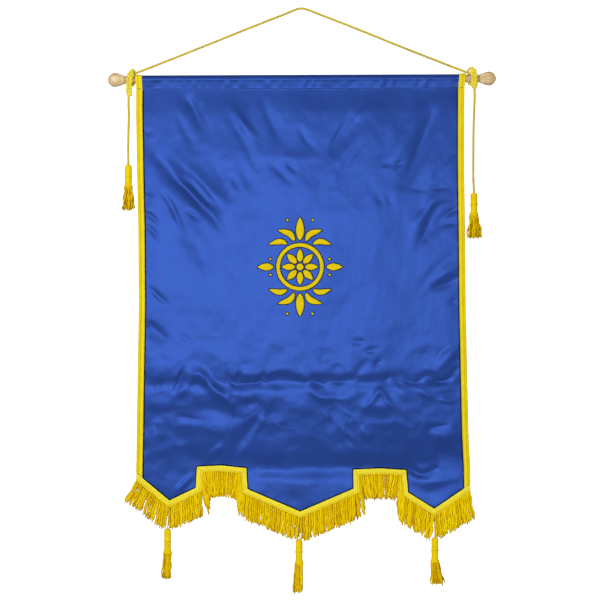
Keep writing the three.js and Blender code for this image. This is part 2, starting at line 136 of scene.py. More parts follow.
# Shares of a ribbon's width from its outer edge, and the columns that are sewn down
RIBBON_COLUMNS = (0, 0.05, 0.1, 0.17, 0.28, 0.34, 0.4, 0.46, 0.54, 0.66, 0.83, 0.9, 0.95, 1)
SEWN_COLUMNS = (2, -3)
RIBBON_END_LEVEL = -0.885
RIBBON_OFF_HEADING = 0.0006
HEADING_WIDTH = 0.0125
HEADING_THICKNESS = 0.0009
HEADING_CELL = 0.0025
# Shares of a heading's width from its upper edge, and the column that is sewn down
HEADING_COLUMNS = (0, 0.06, 0.12, 0.19, 0.32, 0.46, 0.58, 0.66, 0.74, 0.88, 1)
SEWN_COLUMN = 7
CORNER_RIDGE = 0.0005
CORNER_RIDGE_WIDTH = 0.0016
IN_FRONT_OF_CLOTH = 0.0012
STITCH_RADIUS = 0.0003
STITCH_HUMP = 0.0005
SEAM_THREAD = 0.0005
SEAM_THREAD_OUT = 0.0001
# How far apart stitches start, and how long each is
RIBBON_STITCH = (0.0036, 0.0026)
HEADING_STITCH = (0.0034, 0.0024)
SEAM_STITCH = (0.0032, 0.0026)
# A thin dark tube is painted shade where the cloth meets the ribbons and headings: its radius, how far it
# lies past a ribbon's inner edge, how far above a heading, and how far back
SHADE_LINE_RADIUS = 0.0013
SHADE_LINE_OUT = 0.0009
SHADE_LINE_ABOVE = 0.001
SHADE_LINE_BACK = 0.0002

# Fringe and tassels

YARN_RADIUS = 0.00225
YARN_TUCK = 0.0022
YARN_IN_FRONT = 0.0004
YARN_LAY = 0.012
YARN_POINTS = 25
# How far behind the heading a layer of fringe hangs, how far apart its strands are, and their tone; the
# back layer's lower tone is painted shade between the front strands
YARN_LAYERS = ((-0.0014, 0.0044, 0.74), (0.0012, 0.003, 0.42))
# How much further apart strands are on the notches' upright edges
UPRIGHT_SPACING = 1.25
# What chance changes in a strand: its place in shares of the spacing, its tip's swing, its length,
# turn and tone, how far it sways, and how long its waves are
STRAND_SHIFT = 0.12
STRAND_SWING = 0.0009
STRAND_DROP = 0.0018
STRAND_PHASE = 0.09
STRAND_TONE = 0.14
STRAND_SWAY = (0.0008, 0.0015)
STRAND_BEAT = (0.021, 0.027)
# How far the strands' tips gather into clumps
CLUMPING = 0.0011
# Places down a strand or a lock, and the share of its radius at each
YARN_TAPER = ((0, 0.95), (0.06, 1), (0.86, 1), (1, 0.6))
LOCK_TAPER = ((0, 1), (0.85, 1), (1, 0.55))
TASSEL_RADIUS = 0.0066
TASSEL_FLARE = 0.0088
TASSEL_SIDES = 96
TASSEL_RINGS = 46
TASSEL_RIBS = 24
# Places down a tassel's head, and the share of its radius at each
TASSEL_PROFILE = (
    (0, 0.5), (0.02, 0.78), (0.08, 1), (0.44, 0.98), (0.48, 1.03), (0.51, 1.08), (0.54, 1.03),
    (0.58, 0.98), (0.8, 0.97), (0.86, 1.02), (0.95, 1.3), (0.985, 1.27), (1, 1.05),
)
# The threads wound round a head: how far down it, how many turns, and the share of its radius
WINDINGS = ((0.51, 3, 1.05), (0.97, 2, 1.24))
WINDING_RADIUS = 0.00055
WINDING_PITCH = 0.0009
LOCKS = 40
LOCK_RADIUS = 0.0018
LOCK_LAY = 0.011
LOCK_TUCK = 0.0005
LOCK_TONE = 0.56
# What chance changes in a lock: its length as a share, its tip's swing, tone, curl and wave length
LOCK_LENGTH = 0.04
LOCK_SWING = 0.0012
LOCK_SHADE = 0.2
LOCK_CURL = (0.4, 1)
LOCK_BEAT = (0.018, 0.03)
GOLDEN_ANGLE = 2.39996
STRING_RADIUS = 0.0011
STRING_LAY = 0.006
STRING_BEHIND_TIP = 0.0022
TASSEL_CLEAR = 0.003
ABOVE_TASSEL = 0.001
CORD_TASSEL_Y = -0.012

# Embroidery

EMBLEM_CENTRE = (-0.0038, -0.489)
EMBLEM_RAISED = 0.0011
EMBLEM_BASE = 0.0002
RIM_RADIUS = 0.0008
RIM_HEIGHT = 0.0007
RIM_OUT = 0.0006
LEAF_STEP = 0.0011
# Leaves: the radius from the centre and the turn in degrees of three points, and the width
PETAL = (((0.009, 0), (0.021, 0), (0.0345, 0)), 0.0125)
TALL_LEAF = (((0.05, 0), (0.072, 0), (0.0945, 0)), 0.0155)
INNER_LEAF = (((0.05, 12), (0.065, 17), (0.0815, 31)), 0.0115)
OUTER_LEAF = (((0.0495, 29), (0.061, 38), (0.073, 54)), 0.0105)
SIDE_LEAF = (((0.05, 0), (0.065, 0), (0.081, 0)), 0.0135)
# Rings: radius and width
RING = (0.0415, 0.0075)
EYE = (0.0035, 0.0066)
BEAD = (0.0012, 0.0023)
# Where the beads stand: their radius from the centre and their turn from the leaf between them
TALL_BEADS_AT = 0.092
SIDE_BEADS_AT = 0.058
BEAD_TURN = 15

# Camera, lights and surroundings

CAMERA_DISTANCE = 3.0
CAMERA_X = -0.0038
CAMERA_Z = -0.5519
SENSOR_WIDTH = 36
VIEW_WIDTH = 1.14
WORLD_STRENGTH = 0.3
DOME_RADIUS = 7
DOME_Z = -0.5
FLOOR_RADIUS = 1.05
FLOOR_Z = -1.37
# Each light: its name, its place, the point that it faces, its width and its power in watts
LIGHTS = (
    ("key", (-1.3, -2.0, 0.75), (-0.05, 0, -0.4), 1.1, 18),
    ("front", (-0.32, -3.0, -0.5), (0, 0, -0.5), 0.62, 36),
    ("fill", (1.9, -2.3, -0.1), (0, 0, -0.6), 1.8, 3),
    ("behind", (0.8, 2.2, 0.6), (0, 0, -0.5), 1.6, 16),
)

# The banner's side edges, outside the ribbons: height, left X, right X
SIDE_EDGES = [
    (-0.124, -0.3159, 0.3102),
    (-0.155, -0.3146, 0.3081),
    (-0.21, -0.3144, 0.3074),
    (-0.32, -0.3126, 0.3077),
    (-0.42, -0.3107, 0.3095),
    (-0.56, -0.3099, 0.3109),
    (-0.7, -0.3123, 0.3139),
    (-0.8, -0.314, 0.3165),
    (-0.87, -0.3153, 0.32),
    (-0.91, -0.3156, 0.3203),
]

# The corners of the headings' upper edge: where each is, how far the strands' tips swing sideways
# before and after it, how long the strands are there, and whether a length of fringe ends there
Corner = namedtuple("Corner", "x z swing_before swing_after drop cut")
LOWER_EDGE = [
    Corner(-0.3154, -0.88, 0, -0.023, 0.037, False),
    Corner(-0.2525, -0.9336, -0.005, 0, 0.044, False),
    Corner(-0.2031, -0.91, 0.004, 0.013, 0.044, False),
    Corner(-0.2008, -0.8696, 0.015, 0.015, 0.046, True),
    Corner(-0.1539, -0.867, 0.002, 0.002, 0.046, False),
    Corner(-0.1053, -0.872, -0.009, -0.009, 0.046, True),
    Corner(-0.103, -0.9117, -0.005, -0.003, 0.044, False),
    Corner(-0.0034, -0.9539, -0.004, 0.002, 0.045, False),
    Corner(0.0975, -0.911, 0.002, 0.008, 0.046, False),
    Corner(0.0969, -0.8749, 0.009, 0.012, 0.044, True),
    Corner(0.1482, -0.8726, 0.001, 0.001, 0.044, False),
    Corner(0.1993, -0.8762, -0.009, -0.007, 0.044, True),
    Corner(0.2027, -0.9186, -0.006, -0.005, 0.049, False),
    Corner(0.2516, -0.9486, -0.004, 0.002, 0.046, False),
    Corner(0.3203, -0.9015, 0.009, 0, 0.05, False),
]
LOWER_LINE = np.array([(corner.x, corner.z) for corner in LOWER_EDGE])

# The cloth's main folds: from X, from Z, to X, to Z, width and depth, where plus is to the back
FOLDS = [
    (-0.25, -0.16, -0.232, -0.232, 0.013, -0.004),
    (-0.219, -0.158, -0.186, -0.238, 0.013, 0.004),
    (-0.133, -0.19, -0.092, -0.268, 0.014, -0.004),
    (-0.066, -0.19, -0.044, -0.246, 0.013, 0.003),
    (-0.262, -0.292, -0.168, -0.392, 0.015, 0.006),
    (-0.235, -0.285, -0.15, -0.372, 0.015, -0.005),
    (0.249, -0.2, 0.196, -0.332, 0.015, 0.005),
    (0.222, -0.19, 0.168, -0.3, 0.014, -0.004),
    (0.288, -0.274, 0.258, -0.316, 0.013, -0.004),
    (0.286, -0.376, 0.236, -0.428, 0.014, 0.005),
    (0.1, -0.218, 0.052, -0.28, 0.014, 0.004),
    (0.3, -0.51, 0.242, -0.532, 0.013, 0.004),
    (0.296, -0.634, 0.248, -0.676, 0.014, -0.004),
    (-0.3, -0.606, -0.258, -0.628, 0.013, 0.004),
    (-0.175, -0.63, -0.14, -0.668, 0.014, -0.003),
    (-0.3, -0.712, 0.3, -0.706, 0.012, 0.005),
    (-0.196, -0.69, -0.138, -0.744, 0.013, -0.004),
    (-0.068, -0.756, -0.106, -0.816, 0.014, 0.004),
    (0.124, -0.756, 0.172, -0.756, 0.013, -0.003),
    (0.066, -0.74, 0.05, -0.806, 0.014, 0.004),
    (-0.27, -0.856, 0.28, -0.862, 0.016, 0.003),
]

# The cord's raised span and its two hanging ends, knot to knot and knot to tassel
SPAN_ROUTE = [
    (-0.3153, -0.0046, -0.1216),
    (-0.2888, -0.004, -0.1113),
    (-0.1786, -0.0025, -0.0673),
    (-0.0874, -0.001, -0.0304),
    (-0.0266, 0, -0.0063),
    (-0.0114, 0, 0),
    (-0.0038, 0, 0.0018),
    (0, 0, 0.002),
    (0.0038, 0, 0.0017),
    (0.0114, 0, -0.0008),
    (0.0342, 0, -0.0096),
    (0.095, -0.0025, -0.0336),
    (0.1862, -0.0055, -0.071),
    (0.2774, -0.009, -0.1074),
    (0.3195, -0.0111, -0.1241),
]
TAIL_LEFT_ROUTE = [
    (-0.3279, -0.012, -0.1672),
    (-0.3283, -0.012, -0.177),
    (-0.3277, -0.012, -0.2),
    (-0.3284, -0.012, -0.235),
    (-0.3289, -0.012, -0.263),
    (-0.3285, -0.012, -0.2956),
]
TAIL_RIGHT_ROUTE = [
    (0.3264, -0.012, -0.1551),
    (0.3268, -0.012, -0.168),
    (0.3259, -0.012, -0.192),
    (0.3247, -0.012, -0.225),
    (0.3242, -0.012, -0.29),
    (0.3244, -0.012, -0.325),
    (0.3254, -0.012, -0.3486),
]

# Each knot: its plait's middle line, the cord that leaves it for the back, its turn round the rod from
# X to X and angle to angle, where the turn joins the plait again, and a short end where one shows
KNOTS = {
    "left": {
        "plait": [(-0.3206, -0.008, -0.115), (-0.324, -0.0126, -0.124), (-0.3264, -0.0126, -0.14),
                  (-0.3279, -0.012, -0.1662)],
        "leave": [(-0.321, -0.0086, -0.1156), (-0.3182, -0.006, -0.118), (-0.3176, -0.001, -0.121)],
        "join": [(-0.3258, -0.011, -0.149)],
        "stub": [(-0.326, -0.012, -0.157), (-0.3238, -0.012, -0.162), (-0.3224, -0.0124, -0.1654)],
        "turn": (-0.3186, -0.323, 50, -120),
    },
    "right": {
        "plait": [(0.3216, -0.008, -0.1115), (0.325, -0.0126, -0.12), (0.3264, -0.0126, -0.136),
                  (0.3264, -0.012, -0.154)],
        "leave": [(0.3224, -0.0086, -0.1118), (0.3172, -0.0054, -0.1132), (0.3152, -0.001, -0.1174)],
        "join": [(0.3208, -0.011, -0.1455), (0.3254, -0.012, -0.151)],
        "turn": (0.3176, 0.3184, 50, -115),
    },
}

# Each tassel: where its head starts, its head's and skirt's lengths, how far the skirt leans and
# spreads and its locks curl, and for a point's tassel the corner of the lower edge that it hangs from
Tassel = namedtuple("Tassel", "name x top head skirt lean spread curl corner", defaults=[None])
POINT_TASSELS = (
    Tassel("tassel_left", -0.2563, -0.9877, 0.0474, 0.048, -0.002, 0.0206, 0.0011, 1),
    Tassel("tassel_centre", -0.0056, -1.0073, 0.0471, 0.054, -0.0026, 0.0226, 0.0011, 7),
    Tassel("tassel_right", 0.2529, -1.0039, 0.0471, 0.0414, 0.0055, 0.03, 0.0014, 13),
)
CORD_TASSELS = (
    Tassel("cord_tassel_left", -0.3285, -0.296, 0.0437, 0.0416, 0.001, 0.0265, 0.0022),
    Tassel("cord_tassel_right", 0.3254, -0.349, 0.0429, 0.043, 0.0005, 0.035, 0.0022),
)

# Finer creases on the folds: width, depth, then the X and Z of the points that each follows
CREASES = [
    (0.007, 0.0024, (-0.2508, -0.1586), (-0.2432, -0.1871), (-0.2299, -0.2175), (-0.2147, -0.2441),
     (-0.2014, -0.2669)),
    (0.006, 0.0026, (-0.2185, -0.1586), (-0.2109, -0.1795), (-0.1976, -0.2061), (-0.1805, -0.2327)),
    (0.008, -0.0012, (-0.2071, -0.1624), (-0.1843, -0.1795)),
    (0.007, 0.003, (-0.1387, -0.1947), (-0.1273, -0.2175), (-0.1121, -0.2441), (-0.0988, -0.2707),
     (-0.0874, -0.3011)),
    (0.005, -0.0014, (-0.1254, -0.1966), (-0.1064, -0.2213), (-0.0874, -0.2441)),
    (0.007, 0.0022, (-0.076, -0.1624), (-0.0665, -0.1947), (-0.0532, -0.2251), (-0.0456, -0.2441)),
    (0.008, 0.0018, (-0.1843, -0.2707), (-0.1634, -0.3011), (-0.1444, -0.3353), (-0.1368, -0.3619)),
    (0.013, 0.003, (-0.2964, -0.2479), (-0.2736, -0.2783), (-0.247, -0.3087), (-0.2356, -0.3296)),
    (0.007, 0.004, (-0.2394, -0.3239), (-0.2128, -0.3467), (-0.19, -0.3733), (-0.171, -0.3923),
     (-0.152, -0.4189)),
    (0.005, -0.0024, (-0.2299, -0.3201), (-0.209, -0.3372), (-0.1881, -0.3581), (-0.1691, -0.3733)),
    (0.004, 0.0014, (-0.2166, -0.3125), (-0.1938, -0.3353), (-0.1672, -0.3733)),
    (0.004, 0.0018, (-0.2641, -0.3486), (-0.2508, -0.3676), (-0.2375, -0.3961), (-0.2261, -0.4227)),
    (0.004, 0.0017, (-0.2166, -0.3828), (-0.1976, -0.398)),
    (0.018, -0.005, (-0.2242, -0.4037), (-0.1976, -0.4474), (-0.171, -0.5044)),
    (0.005, 0.0014, (-0.133, -0.3163), (-0.1216, -0.3391)),
    (0.009, 0.0018, (-0.1178, -0.2954), (-0.0988, -0.3277), (-0.0874, -0.3467)),
    (0.0035, 0.0015, (-0.3002, -0.3866), (-0.2869, -0.3923), (-0.2755, -0.4037)),
    (0.0035, 0.0015, (-0.3002, -0.4094), (-0.285, -0.4189), (-0.2736, -0.4341)),
    (0.0035, 0.0012, (-0.2983, -0.3429), (-0.285, -0.3505)),
    (0.004, 0.0012, (-0.2964, -0.2327), (-0.285, -0.2365)),
    (0.006, 0.0017, (-0.0646, -0.2897), (-0.0418, -0.3087), (-0.019, -0.3315)),
    (0.004, 0.0012, (-0.0304, -0.2897), (-0.0114, -0.3087)),
    (0.008, -0.0012, (-0.076, -0.2783), (-0.0228, -0.2821), (0.0532, -0.2821)),
    (0.008, 0.0038, (0.2489, -0.1985), (0.2375, -0.2289), (0.2223, -0.2669), (0.209, -0.3049),
     (0.1957, -0.3315)),
    (0.007, 0.0024, (0.1216, -0.2441), (0.1026, -0.2669), (0.0836, -0.2973), (0.0684, -0.3334)),
    (0.005, 0.0018, (0.0874, -0.2061), (0.0722, -0.2327), (0.057, -0.2631)),
    (0.004, -0.0012, (0.1197, -0.1871), (0.1026, -0.2099)),
    (0.005, 0.0015, (-0.0038, -0.2251), (0.0076, -0.2479), (0.019, -0.2631)),
    (0.004, 0.0015, (0.1539, -0.2954), (0.1691, -0.2916)),
    (0.004, 0.0018, (0.1748, -0.2992), (0.19, -0.2897)),
    (0.007, 0.0038, (0.2926, -0.2707), (0.2755, -0.2859), (0.2622, -0.3049), (0.2546, -0.3163)),
    (0.004, 0.0012, (0.2109, -0.341), (0.2337, -0.3429)),
    (0.004, 0.001, (0.2432, -0.3391), (0.2717, -0.3391)),
    (0.006, 0.0032, (0.2869, -0.3714), (0.2622, -0.3733), (0.2432, -0.3961), (0.2318, -0.4303),
     (0.2204, -0.4531)),
    (0.007, -0.002, (0.2679, -0.3467), (0.2432, -0.3695), (0.2204, -0.4037), (0.209, -0.4379)),
    (0.004, 0.002, (0.2945, -0.3771), (0.2774, -0.3885)),
    (0.004, 0.0017, (0.2926, -0.4037), (0.2736, -0.4094)),
    (0.005, 0.0012, (0.1634, -0.3524), (0.1672, -0.3714)),
    (0.005, 0.0012, (0.1425, -0.3524), (0.1501, -0.3676)),
    (0.006, 0.0015, (0.2337, -0.3714), (0.2166, -0.3904)),
    (0.007, 0.0022, (0.285, -0.4683), (0.2622, -0.4854), (0.2394, -0.5101), (0.2242, -0.5291)),
    (0.005, 0.0022, (0.2945, -0.5101), (0.2736, -0.5215), (0.247, -0.5291)),
    (0.006, -0.0018, (0.2945, -0.4873), (0.2622, -0.5101), (0.2337, -0.5348)),
    (0.004, 0.0015, (0.2926, -0.5519), (0.2812, -0.5595)),
    (0.004, 0.0018, (-0.2888, -0.5291), (-0.2736, -0.5443), (-0.2584, -0.5576)),
    (0.006, 0.0024, (-0.2945, -0.5937), (-0.2774, -0.6089), (-0.2603, -0.6241)),
    (0.004, 0.001, (-0.2356, -0.6165), (-0.2128, -0.6317)),
    (0.009, 0.0028, (-0.1805, -0.6317), (-0.1558, -0.6469), (-0.1444, -0.6697)),
    (0.01, 0.0032, (-0.2014, -0.6659), (-0.1748, -0.6887), (-0.152, -0.7191), (-0.1368, -0.7381)),
    (0.006, -0.003, (-0.2318, -0.7324), (-0.2128, -0.7077), (-0.1976, -0.6925), (-0.1786, -0.7115),
     (-0.1558, -0.7305), (-0.1368, -0.7495)),
    (0.004, 0.0024, (-0.2242, -0.683), (-0.2318, -0.7039), (-0.2432, -0.7267)),
    (0.004, 0.0015, (-0.2793, -0.7191), (-0.266, -0.7115)),
    (0.0035, 0.0022, (-0.1444, -0.6925), (-0.1349, -0.7058), (-0.1254, -0.7134)),
    (0.004, 0.002, (-0.1197, -0.6887), (-0.1178, -0.7039)),
    (0.004, 0.0026, (-0.1216, -0.7096), (-0.0988, -0.7105), (-0.0798, -0.7077)),
    (0.0035, 0.0024, (-0.0836, -0.7096), (-0.0722, -0.6925)),
    (0.007, 0.0034, (-0.0684, -0.7096), (-0.0418, -0.6982), (-0.019, -0.702)),
    (0.004, -0.0015, (-0.133, -0.7153), (-0.1406, -0.7381), (-0.133, -0.7533)),
    (0.008, 0.0028, (-0.1064, -0.7495), (-0.0912, -0.7476), (-0.076, -0.7609)),
    (0.006, -0.003, (-0.0646, -0.7495), (-0.076, -0.7799), (-0.095, -0.8084), (-0.1102, -0.8407)),
    (0.01, 0.0036, (-0.1064, -0.8065), (-0.1254, -0.8331), (-0.1368, -0.8578)),
    (0.01, 0.0024, (-0.057, -0.7704), (-0.0646, -0.8027), (-0.057, -0.8331)),
    (0.005, -0.0024, (-0.152, -0.8293), (-0.171, -0.8445), (-0.1824, -0.8597)),
    (0.007, 0.0028, (-0.2394, -0.7666), (-0.2128, -0.7761), (-0.19, -0.7799)),
    (0.012, 0.002, (-0.2603, -0.7799), (-0.2318, -0.8179), (-0.209, -0.8464)),
    (0.009, -0.002, (-0.1881, -0.7913), (-0.1406, -0.7989)),
    (0.008, 0.002, (-0.1938, -0.7571), (-0.1558, -0.7685), (-0.1254, -0.7799)),
    (0.0045, -0.0022, (-0.209, -0.8863), (-0.228, -0.9053), (-0.2375, -0.9167)),
    (0.014, 0.002, (-0.2736, -0.8749), (-0.2356, -0.8825)),
    (0.009, -0.002, (-0.2926, -0.7951), (-0.2736, -0.8103)),
    (0.005, 0.0018, (0.095, -0.6317), (0.1178, -0.6317)),
    (0.005, 0.0016, (0.1197, -0.6507), (0.1444, -0.645)),
    (0.005, 0.002, (0.1501, -0.6659), (0.1368, -0.6811)),
    (0.006, 0.0022, (0.0114, -0.6849), (0.0285, -0.7077), (0.0494, -0.721), (0.0817, -0.7229)),
    (0.005, 0.0032, (0.0532, -0.702), (0.0741, -0.7058), (0.095, -0.7001)),
    (0.006, -0.003, (0.0019, -0.6887), (0.0152, -0.7153), (0.0304, -0.7343), (0.0684, -0.74),
     (0.1026, -0.7343)),
    (0.006, -0.0015, (0.038, -0.6811), (0.0684, -0.6697), (0.095, -0.6887)),
    (0.006, 0.002, (0.095, -0.7077), (0.1064, -0.6887), (0.1216, -0.6697)),
    (0.0045, -0.0024, (0.1216, -0.7571), (0.1368, -0.7381), (0.1482, -0.7248), (0.1634, -0.7457),
     (0.1767, -0.7533)),
    (0.004, 0.0024, (0.1558, -0.7058), (0.171, -0.6963), (0.1843, -0.7077)),
    (0.004, 0.002, (0.19, -0.6963), (0.209, -0.7077)),
    (0.005, 0.0028, (0.2166, -0.7077), (0.2394, -0.6944), (0.2622, -0.7039)),
    (0.005, 0.0032, (0.2432, -0.7077), (0.2736, -0.7039), (0.2964, -0.6811)),
    (0.006, -0.0024, (0.2926, -0.6507), (0.2736, -0.6697), (0.2546, -0.6887)),
    (0.006, 0.0024, (0.2926, -0.6317), (0.2698, -0.6469), (0.2508, -0.6697)),
    (0.0045, 0.0013, (0.1482, -0.7105), (0.2242, -0.7115), (0.3002, -0.7115)),
    (0.004, 0.0022, (0.266, -0.7305), (0.2964, -0.7286)),
    (0.004, -0.002, (0.2622, -0.7419), (0.2869, -0.7457)),
    (0.005, -0.0018, (0.2242, -0.7229), (0.247, -0.7419)),
    (0.006, -0.0015, (0.1862, -0.7267), (0.209, -0.7495)),
    (0.004, -0.0015, (0.0418, -0.7647), (0.057, -0.7799)),
    (0.004, -0.0015, (0.0779, -0.7609), (0.095, -0.7761)),
    (0.0045, -0.002, (0.0741, -0.7951), (0.095, -0.8179)),
    (0.005, -0.002, (0.1121, -0.7913), (0.1292, -0.8103)),
    (0.004, 0.0015, (0.0817, -0.8046), (0.0969, -0.8274)),
    (0.009, -0.0022, (0.19, -0.7761), (0.2128, -0.8103), (0.2432, -0.8521)),
    (0.005, 0.0015, (0.2432, -0.7951), (0.2736, -0.7894)),
    (0.008, -0.0024, (0.247, -0.8141), (0.2774, -0.8027), (0.3002, -0.7951)),
    (0.014, 0.003, (0.2508, -0.8407), (0.2945, -0.8483)),
    (0.013, 0.005, (-0.1463, -0.8756), (-0.0703, -0.8765), (-0.0038, -0.8765), (0.0912, -0.8737),
     (0.2052, -0.8756)),
    (0.005, 0.0038, (0.1995, -0.8673), (0.2166, -0.8806), (0.2318, -0.8844), (0.2546, -0.873)),
    (0.008, -0.003, (0.2052, -0.892), (0.2337, -0.8996), (0.2926, -0.8901)),
    (0.012, 0.002, (0.2242, -0.9205), (0.2622, -0.9243)),
    (0.012, -0.002, (-0.076, -0.892), (-0.0038, -0.8958), (0.0684, -0.8901)),
    (0.012, 0.002, (-0.0304, -0.9319), (0.0114, -0.9357)),
    (0.03, -0.007, (-0.328, -0.84), (-0.322, -0.89), (-0.306, -0.935)),
    (0.03, -0.006, (0.33, -0.85), (0.33, -0.9), (0.315, -0.935)),
    (0.04, 0.01, (-0.33, -0.955), (-0.27, -0.955), (-0.2, -0.955)),
    (0.032, 0.01, (-0.2, -0.83), (-0.2, -0.88), (-0.203, -0.93)),
    (0.032, 0.008, (0.203, -0.85), (0.203, -0.89), (0.203, -0.94)),
]


# Lines and curves


def smooth(t):
    t = np.clip(t, 0, 1)
    return t * t * (3 - 2 * t)


def bell(off, width):
    return np.exp(-((off / width) ** 2))


def full_turn(count):
    return np.linspace(0, 2 * math.pi, count, endpoint=False)


def unit(rows):
    return rows / np.linalg.norm(rows, axis=1)[:, None]


def steps(line):
    return np.linalg.norm(np.diff(line, axis=0), axis=1)


def distances(line):
    """How far each point of a line is from its start, along it"""
    return np.concatenate([[0], np.cumsum(steps(line))])


def spaced(line, spacing):
    """Points about as far apart as the spacing on the straight runs between the given ones"""
    line = np.asarray(line, float)
    at = distances(line)
    places = np.linspace(0, at[-1], max(2, round(at[-1] / spacing) + 1))
    return np.stack([np.interp(places, at, column) for column in line.T], axis=1)


def through(points, spacing):
    """Points about as far apart as the spacing on one smooth curve through the given ones"""
    p = np.asarray(points, float)
    p = np.vstack([2 * p[0] - p[1], p, 2 * p[-1] - p[-2]])
    t = np.linspace(0, 1, CURVE_POINTS, endpoint=False)[:, None]
    fine = []
    for before, start, end, after in zip(p, p[1:], p[2:], p[3:]):
        a, b, c = (math.sqrt(np.linalg.norm(run)) for run in (start - before, end - start, after - end))
        leave = ((start - before) / a - (end - before) / (a + b)) * b + end - start
        arrive = ((after - end) / c - (after - start) / (b + c)) * b + end - start
        fine.append(
            (2 * t**3 - 3 * t**2 + 1) * start
            + (t**3 - 2 * t**2 + t) * leave
            + (3 * t**2 - 2 * t**3) * end
            + (t**3 - t**2) * arrive
        )
    return spaced(np.vstack([*fine, p[-2:-1]]), spacing)


def even_line(corners, spacing):
    """Points that keep every corner and are evenly spaced between each two"""
    runs = [spaced([a, b], spacing)[:-1] for a, b in zip(corners[:-1], corners[1:])]
    return np.vstack([*runs, corners[-1:]])


def plies(count, sides, least):
    """The section of a yarn or cord that is twisted from round plies"""
    off = (full_turn(sides) + math.pi / count) % (2 * math.pi / count) - math.pi / count
    middle = 1 / (1 + math.sin(math.pi / count))
    ply = np.sqrt(np.maximum(0, (1 - middle) ** 2 - (middle * np.sin(off)) ** 2))
    return np.maximum(least, middle * np.cos(off) + ply)


CORD_SECTION = plies(3, 18, 0.62)
YARN_SECTION = plies(2, 8, 0.82)
STRING_SECTION = plies(2, 10, 0.6)
ROUND_SECTION = np.ones(6)
STITCH_SECTION = np.ones(4)


# The cloth's surface and edges


crease_lines = [(row[4], FOLD_SHARE * row[5], through([row[:2], row[2:4]], FOLD_STEP)) for row in FOLDS]
for width, depth, *line in CREASES:
    share = CREASE_SHARE if width > FINE_CREASE else FINE_CREASE_SHARE
    crease_lines.append((CREASE_SPREAD * width, share * depth, through(line, CREASE_STEP)))


def rod_z(x):
    return ROD_Z + ROD_TILT * x


def creased(x, z):
    """The depth that folds and creases give the cloth: each follows its line and is weaker at its ends"""
    depth = np.zeros_like(x)
    for width, height, line in crease_lines:
        low, high = line.min(axis=0) - 3 * width, line.max(axis=0) + 3 * width
        near = np.flatnonzero((x > low[0]) & (x < high[0]) & (z > low[1]) & (z < high[1]))
        if not len(near):
            continue
        best = np.full(len(near), np.inf)
        share = np.zeros(len(near))
        for k, (start, run) in enumerate(zip(line, np.diff(line, axis=0))):
            off_x, off_z = x[near] - start[0], z[near] - start[1]
            t = np.clip((off_x * run[0] + off_z * run[1]) / (run @ run), 0, 1)
            off = np.hypot(off_x - t * run[0], off_z - t * run[1])
            share = np.where(off < best, (k + t) / (len(line) - 1), share)
            best = np.minimum(best, off)
        fade = np.sin(math.pi * (0.12 + 0.76 * share))
        depth[near] += height * fade * bell(best, width)
    return depth


def cloth_y(x, z):
    x, z = np.broadcast_arrays(np.asarray(x, float), np.asarray(z, float))
    depth = SAG_DEPTH * smooth((SAG_FROM - z) / (SAG_FROM - SAG_TO))
    depth = depth - (SAG_DEPTH - TIPS_DEPTH) * smooth((SAG_TO - z) / (SAG_TO - TIPS_AT))
    depth = depth + creased(x.ravel(), z.ravel()).reshape(x.shape)
    depth = depth + RIPPLE * np.sin(x / 0.031 + z / 0.047) * np.sin(z / 0.052 - x / 0.09 + 1)
    below_seam = rod_z(x) - SEAM_DROP - z
    forward = SEAM_FORWARD + BELLY * smooth(below_seam / BELLY_DROP)
    forward = forward * (1 - smooth((below_seam - BELLY_DROP) / BELLY_END))
    return depth * smooth((below_seam - FLAT_BELOW_SEAM) / FOLDS_RISE) - forward


def on_cloth(flat, height):
    """Places given in X and Z, put on the cloth at a height in front of its middle"""
    return np.stack([flat[..., 0], cloth_y(flat[..., 0], flat[..., 1]) - height, flat[..., 1]], axis=-1)


def side_x(side, z):
    rows = np.array(SIDE_EDGES)
    return np.interp(-np.asarray(z), -rows[:, 0], rows[:, 1 if side == "left" else 2])


def edge_out(distance):
    """The headings' upper edge moved outwards, with its two ends moved straight down"""
    run = unit(np.diff(LOWER_LINE, axis=0))
    out = np.stack([run[:, 1], -run[:, 0]], axis=1)
    moved = LOWER_LINE.copy()
    moved[0, 1] += distance / out[0, 1]
    moved[-1, 1] += distance / out[-1, 1]
    for i in range(1, len(moved) - 1):
        moved[i] += distance / (1 + out[i - 1] @ out[i]) * (out[i - 1] + out[i])
    return moved


def lower_edge_at(x):
    order = np.argsort(LOWER_LINE[:, 0], kind="stable")
    return np.interp(x, *LOWER_LINE[order].T)


# Meshes


def in_scene(name, data):
    made = bpy.data.objects.new(name, data)
    bpy.context.scene.collection.objects.link(made)
    return made


